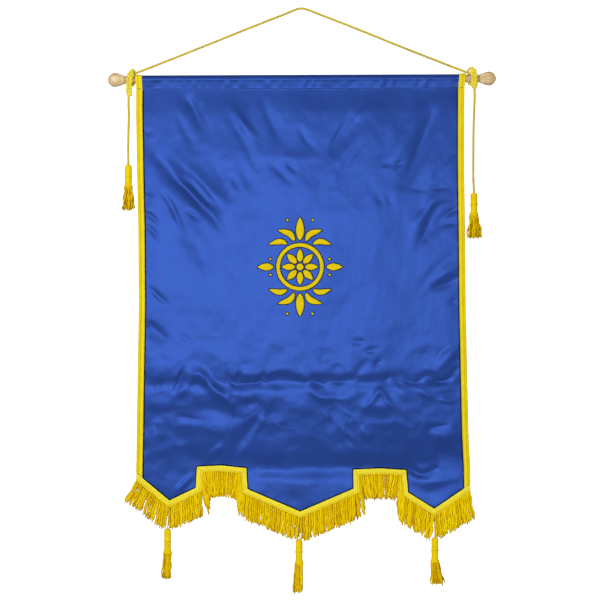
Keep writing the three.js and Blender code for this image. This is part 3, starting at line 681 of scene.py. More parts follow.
class Shape:
    """Points and faces that gather into one mesh, with three numbers a point for the materials"""

    def __init__(self):
        self.points, self.faces, self.count = [], [], 0
        self.values = {"along": [], "across": [], "tone": []}

    def add(self, points, faces, along=0.0, across=0.0, tone=0.5):
        points = np.asarray(points, float).reshape(-1, 3)
        self.faces += [[k + self.count for k in face] for face in faces]
        self.points.append(points)
        for key, value in (("along", along), ("across", across), ("tone", tone)):
            self.values[key].append(np.broadcast_to(np.asarray(value, float).ravel(), (len(points),)))
        self.count += len(points)

    def grid(self, points, along=0.0, across=0.0, tone=0.5, around=False, down=False, capped=False):
        """Points in rows and columns joined into quads, closed round each row or down each column"""
        rows, columns = points.shape[:2]
        faces = []
        for r in range(rows if down else rows - 1):
            here, below = r * columns, (r + 1) % rows * columns
            for c in range(columns if around else columns - 1):
                right = (c + 1) % columns
                faces.append([here + c, below + c, below + right, here + right])
        if capped:
            faces.append(list(range(columns)))
            faces.append([(rows - 1) * columns + c for c in range(columns)][::-1])
        fit = [np.broadcast_to(value, (rows, columns)) for value in (along, across, tone)]
        self.add(points, faces, *fit)

    def tube(self, path, radius, section, lay=None, tone=0.5):
        """A solid rod of a given section that follows a path, and turns once in each lay"""
        path = np.asarray(path, float)
        along = distances(path)
        twist = 2 * math.pi / lay if lay else 0
        tangent = unit(np.gradient(path, axis=0))
        normal = np.cross(tangent[0], (0.31, 0.9, 0.11))
        angles = full_turn(len(section))[:, None]
        radii = np.broadcast_to(radius, (len(path),))
        points = np.zeros((len(path), len(section), 3))
        for i, ahead in enumerate(tangent):
            normal = normal - (normal @ ahead) * ahead
            normal /= np.linalg.norm(normal)
            angle = angles + twist * along[i]
            outwards = np.cos(angle) * normal + np.sin(angle) * np.cross(ahead, normal)
            points[i] = path[i] + (section * radii[i])[:, None] * outwards
        self.grid(points, along[:, None], 0.0, tone, around=True, capped=True)

    def piece(self, name, material, slot, node=None, thickness=0.0):
        mesh = bpy.data.meshes.new(name)
        mesh.from_pydata(np.vstack(self.points).tolist(), [], self.faces)
        for key, values in self.values.items():
            layer = mesh.attributes.new(key, "FLOAT", "POINT")
            layer.data.foreach_set("value", np.concatenate(values).astype(np.float32))
        mesh.materials.append(material)
        mesh.shade_smooth()
        piece = in_scene(name, mesh)
        if thickness:
            solid = piece.modifiers.new("thickness", "SOLIDIFY")
            solid.thickness = thickness
            solid.offset = 0
        if node:
            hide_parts(node)
        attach(piece, "root")
        return piece


# Materials


def srgb(red, green, blue):
    parts = [c / 255 for c in (red, green, blue)]
    return (*[c / 12.92 if c <= 0.04045 else ((c + 0.055) / 1.055) ** 2.4 for c in parts], 1.0)


class Finish:
    """A material with its nodes"""

    def __init__(self, name, **numbers):
        self.material = bpy.data.materials.new(name)
        self.material.use_nodes = True
        self.tree = self.material.node_tree
        self.shader = self.tree.nodes["Principled BSDF"]
        for key, value in numbers.items():
            self.shader.inputs[key.replace("_", " ")].default_value = value

    def node(self, kind, inputs, out=0, **settings):
        made = self.tree.nodes.new("ShaderNode" + kind)
        for key, value in settings.items():
            setattr(made, key, value)
        for key, value in inputs.items():
            if isinstance(value, bpy.types.NodeSocket):
                self.tree.links.new(value, made.inputs[key])
            else:
                made.inputs[key].default_value = value
        return made.outputs[out]

    def attribute(self, name):
        return self.node("Attribute", {}, "Fac", attribute_name=name)

    def math(self, operation, *values):
        return self.node("Math", dict(enumerate(values)), operation=operation)

    def times(self, first, second):
        return self.math("MULTIPLY", first, second)

    def scaled(self, value, factor, added):
        return self.math("MULTIPLY_ADD", value, factor, added)

    def place(self, *scale):
        where = self.node("TexCoord", {}, "Object")
        return self.node("Mapping", {"Vector": where, "Scale": scale})

    def noise(self, scale, detail=2.0, size=(1, 1, 1), roughness=0.5):
        inputs = {"Vector": self.place(*size), "Scale": scale, "Detail": detail, "Roughness": roughness}
        return self.node("TexNoise", inputs)

    def wave(self, value, period):
        """A wave from 0 to 1 along a value"""
        return self.scaled(self.math("SINE", self.times(value, 2 * math.pi / period)), 0.5, 0.5)

    def ramp(self, value, *stops):
        made = self.tree.nodes.new("ShaderNodeValToRGB")
        self.tree.links.new(value, made.inputs["Fac"])
        while len(made.color_ramp.elements) < len(stops):
            made.color_ramp.elements.new(0.5)
        for element, (position, color) in zip(made.color_ramp.elements, stops):
            element.position = position
            element.color = color
        return made.outputs["Color"]

    def mix(self, share, first, second, blend="MIX"):
        return self.node("MixRGB", {"Fac": share, "Color1": first, "Color2": second}, blend_type=blend)

    def bump(self, height, distance, strength, under=None):
        inputs = {"Height": height, "Distance": distance, "Strength": strength}
        if under is not None:
            inputs["Normal"] = under
        return self.node("Bump", inputs)

    def wear(self, **sockets):
        for key, value in sockets.items():
            self.tree.links.new(value, self.shader.inputs[key.replace("_", " ")])
        return self.material


def satin_finish():
    f = Finish(
        "satin",
        Metallic=0.4,
        Anisotropic=0.55,
        Sheen_Weight=0.2,
        Sheen_Roughness=0.4,
        Sheen_Tint=srgb(70, 115, 240),
        Specular_Tint=srgb(120, 160, 255),
    )
    patches = f.noise(9, 4, (1, 1, 0.7), 0.55)
    color = f.ramp(patches, (0.3, srgb(35, 62, 138)), (0.7, srgb(41, 72, 152)))
    threads = f.noise(1, 2, (2600, 300, 260))
    color = f.mix(f.times(threads, 0.12), color, srgb(60, 98, 184))
    wrinkled = f.bump(f.noise(12, 3, (1, 1, 0.8), 0.45), 0.009, 0.5)
    where = f.node("TexCoord", {}, "Object")
    drop = f.times(f.node("SeparateXYZ", {"Vector": where}, "Z"), -1.0)
    crumpled = f.ramp(drop, *[(level, (share, share, share, 1)) for level, share in CRUMPLED_BAND])
    wander = f.node("TexNoise", {"Vector": where, "Scale": 9.0}, "Color")
    shifted = f.mix(0.04, f.place(1, 1, 1.25), wander, "ADD")
    cell = {"Vector": shifted, "Scale": 25.0, "Smoothness": 0.5}
    crumples = f.times(f.node("TexVoronoi", cell, "Distance", feature="SMOOTH_F1"), crumpled)
    normal = f.bump(threads, 0.0001, 0.5, f.bump(crumples, 0.0034, 0.5, wrinkled))
    return f.wear(Base_Color=color, Normal=normal, Roughness=f.scaled(patches, 0.1, 0.38))


def braid_finish():
    f = Finish("braid", Roughness=0.6, Specular_IOR_Level=0.3, Specular_Tint=srgb(255, 230, 120))
    across = f.attribute("across")
    slant = f.math("ABSOLUTE", f.math("SUBTRACT", across, 0.5))
    picks = f.wave(f.scaled(slant, 0.009, f.attribute("along")), 0.0021)
    weave = f.scaled(f.wave(across, 1 / 9), 0.5, picks)
    tint = f.scaled(f.noise(60, 3), 0.5, f.times(weave, 0.35))
    color = f.ramp(tint, (0.1, srgb(220, 178, 0)), (0.5, srgb(252, 224, 0)), (0.85, srgb(255, 244, 24)))
    # Above 0 the tone pales the braid and below 0 darkens it: painted highlights and painted shade on the
    # ribbons, and on the headings a paler tape with a painted highlight on its upper edge
    tone = f.attribute("tone")
    color = f.mix(f.math("MAXIMUM", tone, 0.0), color, srgb(255, 246, 80))
    color = f.mix(f.math("MAXIMUM", f.times(tone, -1.0), 0.0), color, srgb(176, 122, 0))
    return f.wear(Base_Color=color, Normal=f.bump(weave, 0.0003, 0.8))


def yarn_finish(name, dark, middle, light, fibre):
    f = Finish(name, Roughness=0.55, Specular_IOR_Level=0.3, Specular_Tint=srgb(255, 220, 60))
    fibres = f.noise(1, 2, (fibre, fibre, fibre * 0.3))
    tint = f.scaled(fibres, 0.35, f.times(f.attribute("tone"), 0.6))
    tint = f.scaled(f.math("SUBTRACT", f.noise(70, 2), 0.5), 0.3, tint)
    color = f.ramp(tint, (0.12, dark), (0.48, middle), (0.82, light))
    return f.wear(Base_Color=color, Normal=f.bump(fibres, 0.0003, 0.7))


def thread_finish(name, dark, light, period):
    """Embroidery or sewing thread, laid side by side"""
    f = Finish(name, Roughness=0.5, Specular_IOR_Level=0.2, Specular_Tint=light)
    threads = f.wave(f.attribute("along"), period)
    color = f.ramp(f.scaled(threads, 0.4, f.times(f.noise(300, 2), 0.6)), (0.15, dark), (0.8, light))
    return f.wear(Base_Color=color, Normal=f.bump(threads, 0.0002, 0.8))


def wood_finish(name, stretch, dark, light):
    f = Finish(name, Coat_Weight=0.25, Coat_Roughness=0.25)
    grain = f.noise(1, 5, stretch, 0.62)
    pores = f.noise(1, 2, tuple(3.4 * s for s in stretch))
    lines = f.scaled(pores, 0.3, f.times(grain, 0.8))
    color = f.ramp(lines, (0.32, dark), (0.52, light), (0.78, srgb(250, 236, 200)))
    roughness = f.scaled(pores, 0.2, 0.32)
    return f.wear(Base_Color=color, Normal=f.bump(lines, 0.0002, 0.5), Roughness=roughness)


def stage_finish(name, color, glow=0.0):
    f = Finish(name, Roughness=0.9)
    tint = f.ramp(f.noise(3, 2), (0.3, color), (0.7, tuple(min(1.0, 1.03 * c) for c in color)))
    if glow:
        f.shader.inputs["Emission Strength"].default_value = glow
        f.wear(Emission_Color=tint)
    return f.wear(Base_Color=tint)


SATIN = satin_finish()
BRAID = braid_finish()
YARN = yarn_finish("yarn", srgb(150, 102, 0), srgb(232, 188, 0), srgb(255, 232, 16), 900)
ROPE = yarn_finish("rope", srgb(158, 134, 30), srgb(222, 196, 60), srgb(255, 238, 78), 1300)
EMBROIDERY = thread_finish("embroidery", srgb(228, 192, 4), srgb(255, 234, 30), 0.00065)
# Dark thread for the emblem's outline and the pocket's seam, also used for the lines of painted shade
# beside the ribbons and headings
DARK_THREAD_AND_SHADE = thread_finish("dark_thread_and_shade", srgb(8, 12, 30), srgb(20, 28, 58), 0.0008)
GOLD_THREAD = thread_finish("gold_thread", srgb(176, 132, 10), srgb(226, 184, 30), 0.0008)
ROD_WOOD = wood_finish("rod_wood", (30, 420, 420), srgb(160, 118, 62), srgb(204, 166, 104))
FINIAL_WOOD = wood_finish("finial_wood", (60, 130, 130), srgb(166, 116, 58), srgb(230, 198, 140))


# Camera, lights and surroundings


def make_camera():
    data = bpy.data.cameras.new("camera")
    data.sensor_width = SENSOR_WIDTH
    data.lens = SENSOR_WIDTH * CAMERA_DISTANCE / VIEW_WIDTH
    camera = in_scene("camera", data)
    camera.location = (CAMERA_X, -CAMERA_DISTANCE, CAMERA_Z)
    camera.rotation_euler = (math.pi / 2, 0, 0)
    bpy.context.scene.camera = camera


def add_light(name, place, towards, size, power):
    data = bpy.data.lights.new(name, "AREA")
    data.shape = "DISK"
    data.size = size
    data.energy = power
    lamp = in_scene(name, data)
    lamp.location = place
    aim = np.array(towards) - np.array(place)
    tilt = math.atan2(math.hypot(aim[0], aim[1]), -aim[2])
    lamp.rotation_euler = (tilt, 0, math.atan2(aim[1], aim[0]) - math.pi / 2)


def make_surroundings():
    bpy.context.scene.view_settings.view_transform = "Standard"
    world = bpy.data.worlds.new("studio")
    bpy.context.scene.world = world
    world.use_nodes = True
    background = world.node_tree.nodes["Background"]
    background.inputs["Color"].default_value = (1, 1, 1, 1)
    background.inputs["Strength"].default_value = WORLD_STRENGTH
    bpy.ops.mesh.primitive_uv_sphere_add(
        segments=48, ring_count=24, radius=DOME_RADIUS, location=(0, 0, DOME_Z)
    )
    dome = bpy.context.object
    dome.name = "backdrop"
    dome.data.materials.append(stage_finish("backdrop", (1.0, 1.0, 1.0, 1.0), 1.0))
    dome.visible_diffuse = False
    dome.visible_glossy = False
    dome.visible_shadow = False
    bpy.ops.mesh.primitive_circle_add(
        vertices=96, radius=FLOOR_RADIUS, fill_type="NGON", location=(0, 0, FLOOR_Z)
    )
    floor = bpy.context.object
    floor.name = "floor"
    floor.data.materials.append(stage_finish("floor", (0.86, 0.86, 0.85, 1.0)))
    for light in LIGHTS:
        add_light(*light)


# Cord and knots


def make_cord(name, node, route):
    path = through(route, CORD_STEP)
    shape = Shape()
    shape.tube(path, CORD_REACH, CORD_SECTION, CORD_LAY, CORD_TONE)
    shape.piece(name, ROPE, "cord", node)


def plait_strand(route, index):
    middle = through(route, KNOT_STEP)
    t = np.linspace(0, 1, len(middle))
    swell = np.minimum(1, np.minimum(t / PLAIT_OPENS, (1 - t) / PLAIT_CLOSES))
    phase = 2 * math.pi * (t * steps(middle).sum() / PLAIT_CROSSING + index / 3)
    sideways = swell * PLAIT_WIDTH * np.sin(phase)
    inwards = swell * PLAIT_DEPTH * np.sin(2 * phase)
    return middle + np.stack([sideways, inwards, np.zeros_like(t)], axis=1)


def turn_round_rod(from_x, to_x, from_angle, to_angle):
    reach = ROD_RADIUS + CORD_REACH + CORD_OFF_ROD
    x = np.linspace(from_x, to_x, 8)
    angle = np.radians(np.linspace(from_angle, to_angle, 8))
    return np.stack([x, reach * np.cos(angle), rod_z(x) + reach * np.sin(angle)], axis=1)


def make_knot(side):
    parts = KNOTS[side]
    shape = Shape()
    for index in range(3):
        strand = plait_strand(parts["plait"], index)
        shape.tube(strand, PLAIT_REACH, CORD_SECTION, CORD_LAY, KNOT_TONE + 0.05 * index)
    around = through([*parts["leave"], *turn_round_rod(*parts["turn"]), *parts["join"]], KNOT_STEP)
    shape.tube(around, CORD_REACH, CORD_SECTION, CORD_LAY, KNOT_TONE)
    if "stub" in parts:
        shape.tube(through(parts["stub"], KNOT_STEP), PLAIT_REACH, CORD_SECTION, CORD_LAY, STUB_TONE)
    shape.piece(f"cord_knot_{side}", ROPE, "cord", f"knot_{side}")


# Cloth


def pocket_section(radius, front, back):
    """Points in Y and Z round the rod's middle, from behind the seam over the top to its front"""
    flank = math.asin(radius / SEAM_DROP)
    angle = np.linspace(-flank, math.pi + flank, 21)
    ring = np.stack([radius * np.cos(angle), radius * np.sin(angle)], axis=1)
    behind = np.array([[back, -SEAM_DROP]])
    ahead = np.array([[front, -SEAM_DROP]])
    up = behind + (ring[:1] - behind) * np.linspace(0, 1, 5, endpoint=False)[:, None]
    down = ring[-1:] + (ahead - ring[-1:]) * np.linspace(0, 1, 6)[1:, None]
    return np.vstack([up, ring, down])


def inside(points, polygon):
    """Which points are inside: those with an odd number of the polygon's sides to their right"""
    x, z = points.T
    crossed = np.zeros(len(points), bool)
    for (ax, az), (bx, bz) in zip(polygon, np.roll(polygon, -1, axis=0)):
        if az != bz:
            crossed ^= ((az > z) != (bz > z)) & (x < (bx - ax) * (z - az) / (bz - az) + ax)
    return crossed


def cloth_outline():
    """The panel's outline below the pocket's seam, and the X of the points along that seam"""
    bottom = edge_out(UNDER_HEADING)
    levels = [row[0] for row in SIDE_EDGES[2:-1]]
    edges = []
    for side, inset, end in (("left", CLOTH_INSET, 0), ("right", -CLOTH_INSET, -1)):
        bottom[end, 0] += inset
        seam_x = side_x(side, SEAM_LEVEL) + inset
        middle = [(float(side_x(side, z)) + inset, z) for z in levels]
        corners = [(seam_x, rod_z(seam_x) - SEAM_DROP), *middle, bottom[end]]
        edges.append(even_line(np.array(corners), CLOTH_CELL))
    left, right = edges
    columns = np.linspace(left[0, 0], right[0, 0], POCKET_COLUMNS)
    top = np.stack([columns, rod_z(columns) - SEAM_DROP], axis=1)
    lower = even_line(bottom, CLOTH_CELL)
    return np.vstack([left[:-1], lower[:-1], right[::-1][:-1], top[::-1][:-1]]), columns


def fill_spots(outline):
    """Points in staggered rows inside an outline, none of them close to one of its own"""
    low, high = outline.min(axis=0), outline.max(axis=0)
    rows = np.arange(high[1] - 0.6 * CLOTH_CELL, low[1], -CLOTH_CELL * ROW_SHARE)
    spots = []
    for r, z in enumerate(rows):
        x = np.arange(low[0] + (0.5 * CLOTH_CELL if r % 2 else 0), high[0], CLOTH_CELL)
        spots.append(np.stack([x, np.full_like(x, z)], axis=1))
    spots = np.vstack(spots)
    spots = spots[inside(spots, outline)]
    near = np.full(len(spots), np.inf)
    for point in outline:
        near = np.minimum(near, np.hypot(*(spots - point).T))
    return spots[near > CLEAR_SHARE * CLOTH_CELL]


def pocket_grid(section, columns):
    points = np.zeros((len(section), len(columns), 3))
    puckers = np.sin(columns / 0.0036 + 3 * np.sin(columns / 0.03)) * np.sin(columns / 0.023 + 1)
    for r, (y, down) in enumerate(section):
        height = smooth((down + SEAM_DROP) / (SEAM_DROP + POCKET_RADIUS))
        slack = PUCKER_DEPTH * puckers * math.sin(math.pi * min(1, max(0, -down / SEAM_DROP)))
        points[r, :, 0] = columns * (1 + POCKET_SPREAD * height)
        points[r, :, 1] = y - (slack if r > len(section) // 2 else 0)
        points[r, :, 2] = rod_z(columns) + down
    return points[:, ::-1]


def make_cloth():
    outline, columns = cloth_outline()
    flat = np.vstack([outline, fill_spots(outline)])
    found = delaunay_2d_cdt(flat.tolist(), [], [list(range(len(outline)))], 1, 1e-7)
    shape = Shape()
    shape.add(on_cloth(np.array([tuple(p) for p in found[0]]), 0), [list(face) for face in found[2]])
    behind = POCKET_BEHIND - SEAM_FORWARD
    hem = [[behind, -SEAM_DROP - HEM_BELOW_SEAM], [behind, -SEAM_DROP - HEM_BELOW_SEAM / 2]]
    section = np.vstack([hem, pocket_section(POCKET_RADIUS, -SEAM_FORWARD, behind)])
    shape.grid(pocket_grid(section, columns))
    cloth = shape.piece("satin_cloth", SATIN, "satin", "banner_cloth", CLOTH_THICKNESS)
    mesh = bmesh.new()
    mesh.from_mesh(cloth.data)
    bmesh.ops.remove_doubles(mesh, verts=mesh.verts, dist=WELD)
    bmesh.ops.recalc_face_normals(mesh, faces=mesh.faces)
    mesh.to_mesh(cloth.data)
    mesh.free()
    around = steps(section).sum()
    width, height = outline.max(axis=0) - outline.min(axis=0)
    x, z = outline.T
    panel = 0.5 * abs(np.dot(x, np.roll(z, -1)) - np.dot(z, np.roll(x, -1)))
    area = panel + around * (columns[-1] - columns[0])
    return cloth, (float(width), float(height + around)), float(area)


def make_ribbon(side):
    inward = 1 if side == "left" else -1
    across = np.array(RIBBON_COLUMNS)
    front, back = -SEAM_FORWARD - IN_FRONT_OF_CLOTH, RIBBON_BEHIND - SEAM_FORWARD
    section = pocket_section(RIBBON_ROUND_ROD, front, back)
    down_rows = np.linspace(0, 1, RIBBON_ROWS)[1:]
    points = np.zeros((len(section) + len(down_rows), len(across), 3))
    edges = 0.0003 * bell(np.abs(across - 0.5) - 0.44, 0.045)
    lifts = edges + 0.0003 * np.cos(math.pi * (across - 0.5)) ** 2 - 0.0004 * bell(across - 0.4, 0.06)
    for c, (share, lift) in enumerate(zip(across, lifts)):
        shift = inward * RIBBON_WIDTH * share
        top_x = float(side_x(side, ROD_Z)) + shift
        reach = 1 + lift / RIBBON_ROUND_ROD
        for r, (y, down) in enumerate(section):
            x = float(side_x(side, rod_z(top_x) + down)) + shift
            points[r, c] = (x, y * reach, rod_z(x) + down * (reach if down > 0 else 1))
        seam = rod_z(top_x) - SEAM_DROP
        end = float(lower_edge_at(float(side_x(side, RIBBON_END_LEVEL)) + shift)) + RIBBON_OFF_HEADING
        z = seam + (end - seam) * down_rows
        flat = np.stack([side_x(side, z) + shift, z], axis=1)
        points[len(section) :, c] = on_cloth(flat, IN_FRONT_OF_CLOTH + lift)
    along = distances(points[:, len(across) // 2])
    # Painted highlights on the raised outer edge and across the inner side, and painted shade in the
    # groove at four tenths of the width
    painted_highlights_and_shade = 0.35 * bell(across - 0.78, 0.2) - 0.35 * bell(across - 0.4, 0.1)
    painted_highlights_and_shade += 0.5 * bell(across - 0.04, 0.1)
    # The left ribbon's rows run the other way, so that both ribbons face the front
    facing = slice(None, None, -inward)
    shape = Shape()
    shape.grid(points[:, facing], along[:, None], across[facing], painted_highlights_and_shade[facing])
    ribbon = shape.piece(f"braid_{side}", BRAID, "ribbon", f"ribbon_{side}", RIBBON_THICKNESS)
    # A line of painted shade on the cloth just past the ribbon's inner edge
    edge = points[len(section) :, -1] + np.array([inward * SHADE_LINE_OUT, SHADE_LINE_BACK, 0])
    return ribbon, [points[len(section) + 1 :, column] for column in SEWN_COLUMNS], edge


def stitches(shape, line, pitch, length, radius=STITCH_RADIUS):
    """Short stitches one after another on a line, each humped towards the front"""
    line = spaced(line, pitch / 4)
    for start, end in zip(line[:-4:4], line[4::4]):
        stitch = start + (end - start) * np.array([[0.0], [0.5], [1.0]]) * (length / pitch)
        stitch[1, 1] -= STITCH_HUMP
        shape.tube(stitch, radius * np.array([0.7, 1, 0.7]), STITCH_SECTION)


# Fringe and tassels


def make_heading(name, first, last):
    upper = LOWER_LINE[first : last + 1]
    lower = edge_out(HEADING_WIDTH)[first : last + 1]
    corners = distances(upper)
    across = np.array(HEADING_COLUMNS)
    rows, along, ridge = [], [], []
    for i, length in enumerate(steps(upper)):
        count = max(3, round(length / HEADING_CELL))
        for t in np.linspace(0, 1, count + 1)[0 if i == 0 else 1 :]:
            top = upper[i] + (upper[i + 1] - upper[i]) * t
            foot = lower[i] + (lower[i + 1] - lower[i]) * t
            rows.append(top + (foot - top) * across[:, None])
            along.append(corners[i] + t * length)
            inner = i > 0 if t < 0.5 else i < len(upper) - 2
            ridge.append(CORNER_RIDGE * inner * bell(min(t, 1 - t) * length, CORNER_RIDGE_WIDTH))
    roll = 0.0005 * bell(across - 0.06, 0.06)
    seam = -0.00025 * bell(across - 0.66, 0.05)
    lift = roll + seam + 0.0002 * np.sin(math.pi * across) + np.array(ridge)[:, None]
    points = on_cloth(np.array(rows), IN_FRONT_OF_CLOTH + lift)
    # Paler all over, with a painted highlight along the rolled upper edge
    paler_with_highlight = 0.5 + 0.5 * bell(across - 0.05, 0.09)
    shape = Shape()
    shape.grid(points, np.array(along)[:, None], across, paler_with_highlight)
    heading = shape.piece(f"heading_{name}", BRAID, "ribbon", f"fringe_{name}", HEADING_THICKNESS)
    # A line of painted shade on the cloth just above the heading's upper edge
    edge = points[:, 0] + np.array([0, SHADE_LINE_BACK, SHADE_LINE_ABOVE])
    return heading, points[:, SEWN_COLUMN], edge


def lowest_over(x):
    """How low a strand may reach at an X: down to a tassel's top where it hangs over one"""
    for tassel in POINT_TASSELS:
        if abs(x - tassel.x) < TASSEL_RADIUS + TASSEL_CLEAR:
            return tassel.top + ABOVE_TASSEL
    return -math.inf


def yarn_path(root, swing, drop, sway, phase, beat):
    s = np.linspace(0, 1, YARN_POINTS)
    turns = 2 * math.pi * (beat * s + phase)
    x = root[0] + swing * s**1.15 + sway * np.sqrt(s) * np.sin(turns)
    y = root[1] + 0.5 * sway * np.sqrt(s) * np.cos(turns)
    z = root[2] + YARN_TUCK - (drop + YARN_TUCK) * s
    return np.stack([x, y, z], axis=1)


def tapered(radius, taper):
    return radius * np.interp(np.linspace(0, 1, YARN_POINTS), *zip(*taper))


def make_fringe(name, first, last):
    outer = edge_out(HEADING_WIDTH)
    shape = Shape()
    for i in range(first, last):
        corner, following = LOWER_EDGE[i], LOWER_EDGE[i + 1]
        start, end = outer[i], outer[i + 1]
        upright = abs(end[1] - start[1]) > abs(end[0] - start[0])
        # The back layer's lower tone is painted shade in the gaps between the front strands
        for layer, pitch, tone in YARN_LAYERS:
            pitch *= UPRIGHT_SPACING if upright else 1
            count = max(2, round(float(np.linalg.norm(end - start)) / pitch))
            for n in range(count):
                t = (n + 0.5 + chance.uniform(-STRAND_SHIFT, STRAND_SHIFT)) / count
                x, z = start + (end - start) * t
                swing = corner.swing_after + (following.swing_before - corner.swing_after) * t
                swing += CLUMPING * math.sin(x / 0.0041) * math.sin(x / 0.013 + 1)
                swing += chance.normal(0, STRAND_SWING)
                drop = corner.drop + (following.drop - corner.drop) * t
                drop = min(drop + chance.normal(0, STRAND_DROP), z - lowest_over(x + swing))
                y = float(cloth_y(x, z)) - IN_FRONT_OF_CLOTH - YARN_IN_FRONT + layer
                phase = x / 0.085 + 0.15 * math.sin(x / 0.017) + chance.normal(0, STRAND_PHASE)
                sway = chance.uniform(*STRAND_SWAY)
                path = yarn_path((x, y, z), swing, drop, sway, phase, drop / chance.uniform(*STRAND_BEAT))
                shade = np.clip(tone + chance.normal(0, STRAND_TONE), 0, 1)
                shape.tube(path, tapered(YARN_RADIUS, YARN_TAPER), YARN_SECTION, YARN_LAY, shade)
    return shape.piece(f"yarns_{name}", YARN, "yarn", f"fringe_{name}")


def add_head(shape, x, y, top, length):
    """A tassel's ribbed head, with the threads wound round its middle and its foot"""
    share = np.linspace(0, 1, TASSEL_RINGS)[:, None]
    angle = full_turn(TASSEL_SIDES)
    radius = TASSEL_RADIUS * np.interp(share, *zip(*TASSEL_PROFILE))
    reach = radius * (1 + 0.02 * np.cos(TASSEL_RIBS * angle + 5 * share))
    level = np.broadcast_to(top - length * share, reach.shape)
    points = np.stack([x + reach * np.cos(angle), y + reach * np.sin(angle), level], axis=2)
    tone = 0.82 + 0.15 * np.cos(TASSEL_RIBS * angle)
    shape.grid(points, length * share, 0.0, tone, around=True, capped=True)
    for down, turns, wide in WINDINGS:
        angle = np.linspace(0, 2 * math.pi * turns, 20 * turns + 1)
        ring = TASSEL_RADIUS * wide
        level = top - length * down + WINDING_PITCH * (turns / 2 - angle / (2 * math.pi))
        wound = np.stack([x + ring * np.cos(angle), y + ring * np.sin(angle), level], axis=1)
        shape.tube(wound, WINDING_RADIUS, ROUND_SECTION, None, 0.8)


def make_tassel(tassel, y, string=None):
    x, skirt_top = tassel.x, tassel.top - tassel.head
    shape = Shape()
    add_head(shape, x, y, tassel.top, tassel.head)
    for n in range(LOCKS):
        share = math.sqrt((n + 0.5) / LOCKS)
        across, inwards = math.cos(n * GOLDEN_ANGLE), math.sin(n * GOLDEN_ANGLE)
        inner = TASSEL_FLARE * 0.8 * share
        outer = tassel.spread / 2 * share - LOCK_RADIUS
        length = tassel.skirt * (1 - 0.05 * (1 - share) + chance.normal(0, LOCK_LENGTH))
        swing = tassel.lean + (outer - inner) * across + chance.normal(0, LOCK_SWING)
        root = (x + inner * across, y + inner * inwards, skirt_top + LOCK_TUCK)
        curl = chance.uniform(*LOCK_CURL) * tassel.curl
        phase = chance.uniform(0, 1)
        path = yarn_path(root, swing, length, curl, phase, length / chance.uniform(*LOCK_BEAT))
        path[:, 1] += (outer * 0.75 - inner) * inwards * np.linspace(0, 1, YARN_POINTS)
        shade = np.clip(LOCK_TONE + chance.normal(0, LOCK_SHADE), 0, 1)
        shape.tube(path, tapered(LOCK_RADIUS, LOCK_TAPER), YARN_SECTION, LOCK_LAY, shade)
    if string is not None:
        shape.tube(through(string, 0.0015), STRING_RADIUS, STRING_SECTION, STRING_LAY, 0.4)
    shape.piece(f"bound_{tassel.name}", YARN, "yarn", tassel.name)


def point_string(tassel):
    """The route of the string that hangs a tassel behind the point of the lower edge over it"""
    tip_x, tip_z = LOWER_LINE[tassel.corner].tolist()
    y = float(cloth_y(tip_x, tip_z)) + STRING_BEHIND_TIP
    middle = ((tip_x + tassel.x) / 2, y, (tip_z + tassel.top) / 2)
    foot = (tassel.x, y, tassel.top - 0.002)
    return [(tip_x, y, tip_z + 0.002), (tip_x, y, tip_z - 0.014), middle, foot]


# Wood


def turned_piece(name, material, node, x, radius):
    """A solid turned about the rod's line, from a radius at each X"""
    angle = full_turn(TURNED_SIDES)
    points = np.zeros((len(x), TURNED_SIDES, 3))
    points[..., 0] = x[:, None]
    points[..., 1] = radius[:, None] * np.cos(angle)
    points[..., 2] = rod_z(x)[:, None] + radius[:, None] * np.sin(angle)
    shape = Shape()
    shape.grid(points, x[:, None], around=True, capped=True)
    shape.piece(name, material, "wood", node)


def make_rod():
    ends = np.array([ROD_HALF_LENGTH - ROD_EDGE, ROD_HALF_LENGTH])
    x = np.concatenate([-ends[::-1], np.linspace(-ROD_EVEN_TO, ROD_EVEN_TO, 45), ends])
    radius = np.full(len(x), ROD_RADIUS)
    radius[[0, -1]] -= ROD_EDGE
    turned_piece("dowel", ROD_WOOD, "rod", x, radius)


def make_finial(side):
    t = np.linspace(0, 1, 44)
    curve = through(FINIAL_PROFILE, 0.01)
    from_rod, past_neck = np.array(COLLAR).T
    radius = np.concatenate([FINIAL_RADIUS * np.interp(t, *curve.T), FINIAL_NECK + past_neck])
    place = np.concatenate([t * (FINIAL_LENGTH - COLLAR_LENGTH), FINIAL_LENGTH - from_rod])
    x = place - ROD_HALF_LENGTH - FINIAL_GAP - FINIAL_LENGTH
    if side == "right":
        x, radius = -x[::-1], radius[::-1]
    turned_piece(f"turned_end_{side}", FINIAL_WOOD, f"finial_{side}", x, radius)


# Embroidery: a rosette in a ring, with sprigs of leaves


def polar(radius, degrees):
    angle = math.radians(degrees)
    return EMBLEM_CENTRE[0] + radius * math.sin(angle), EMBLEM_CENTRE[1] + radius * math.cos(angle)


def add_rim(edging, line):
    edging.tube(on_cloth(np.vstack([line, line[:1]]), RIM_HEIGHT), RIM_RADIUS, ROUND_SECTION)


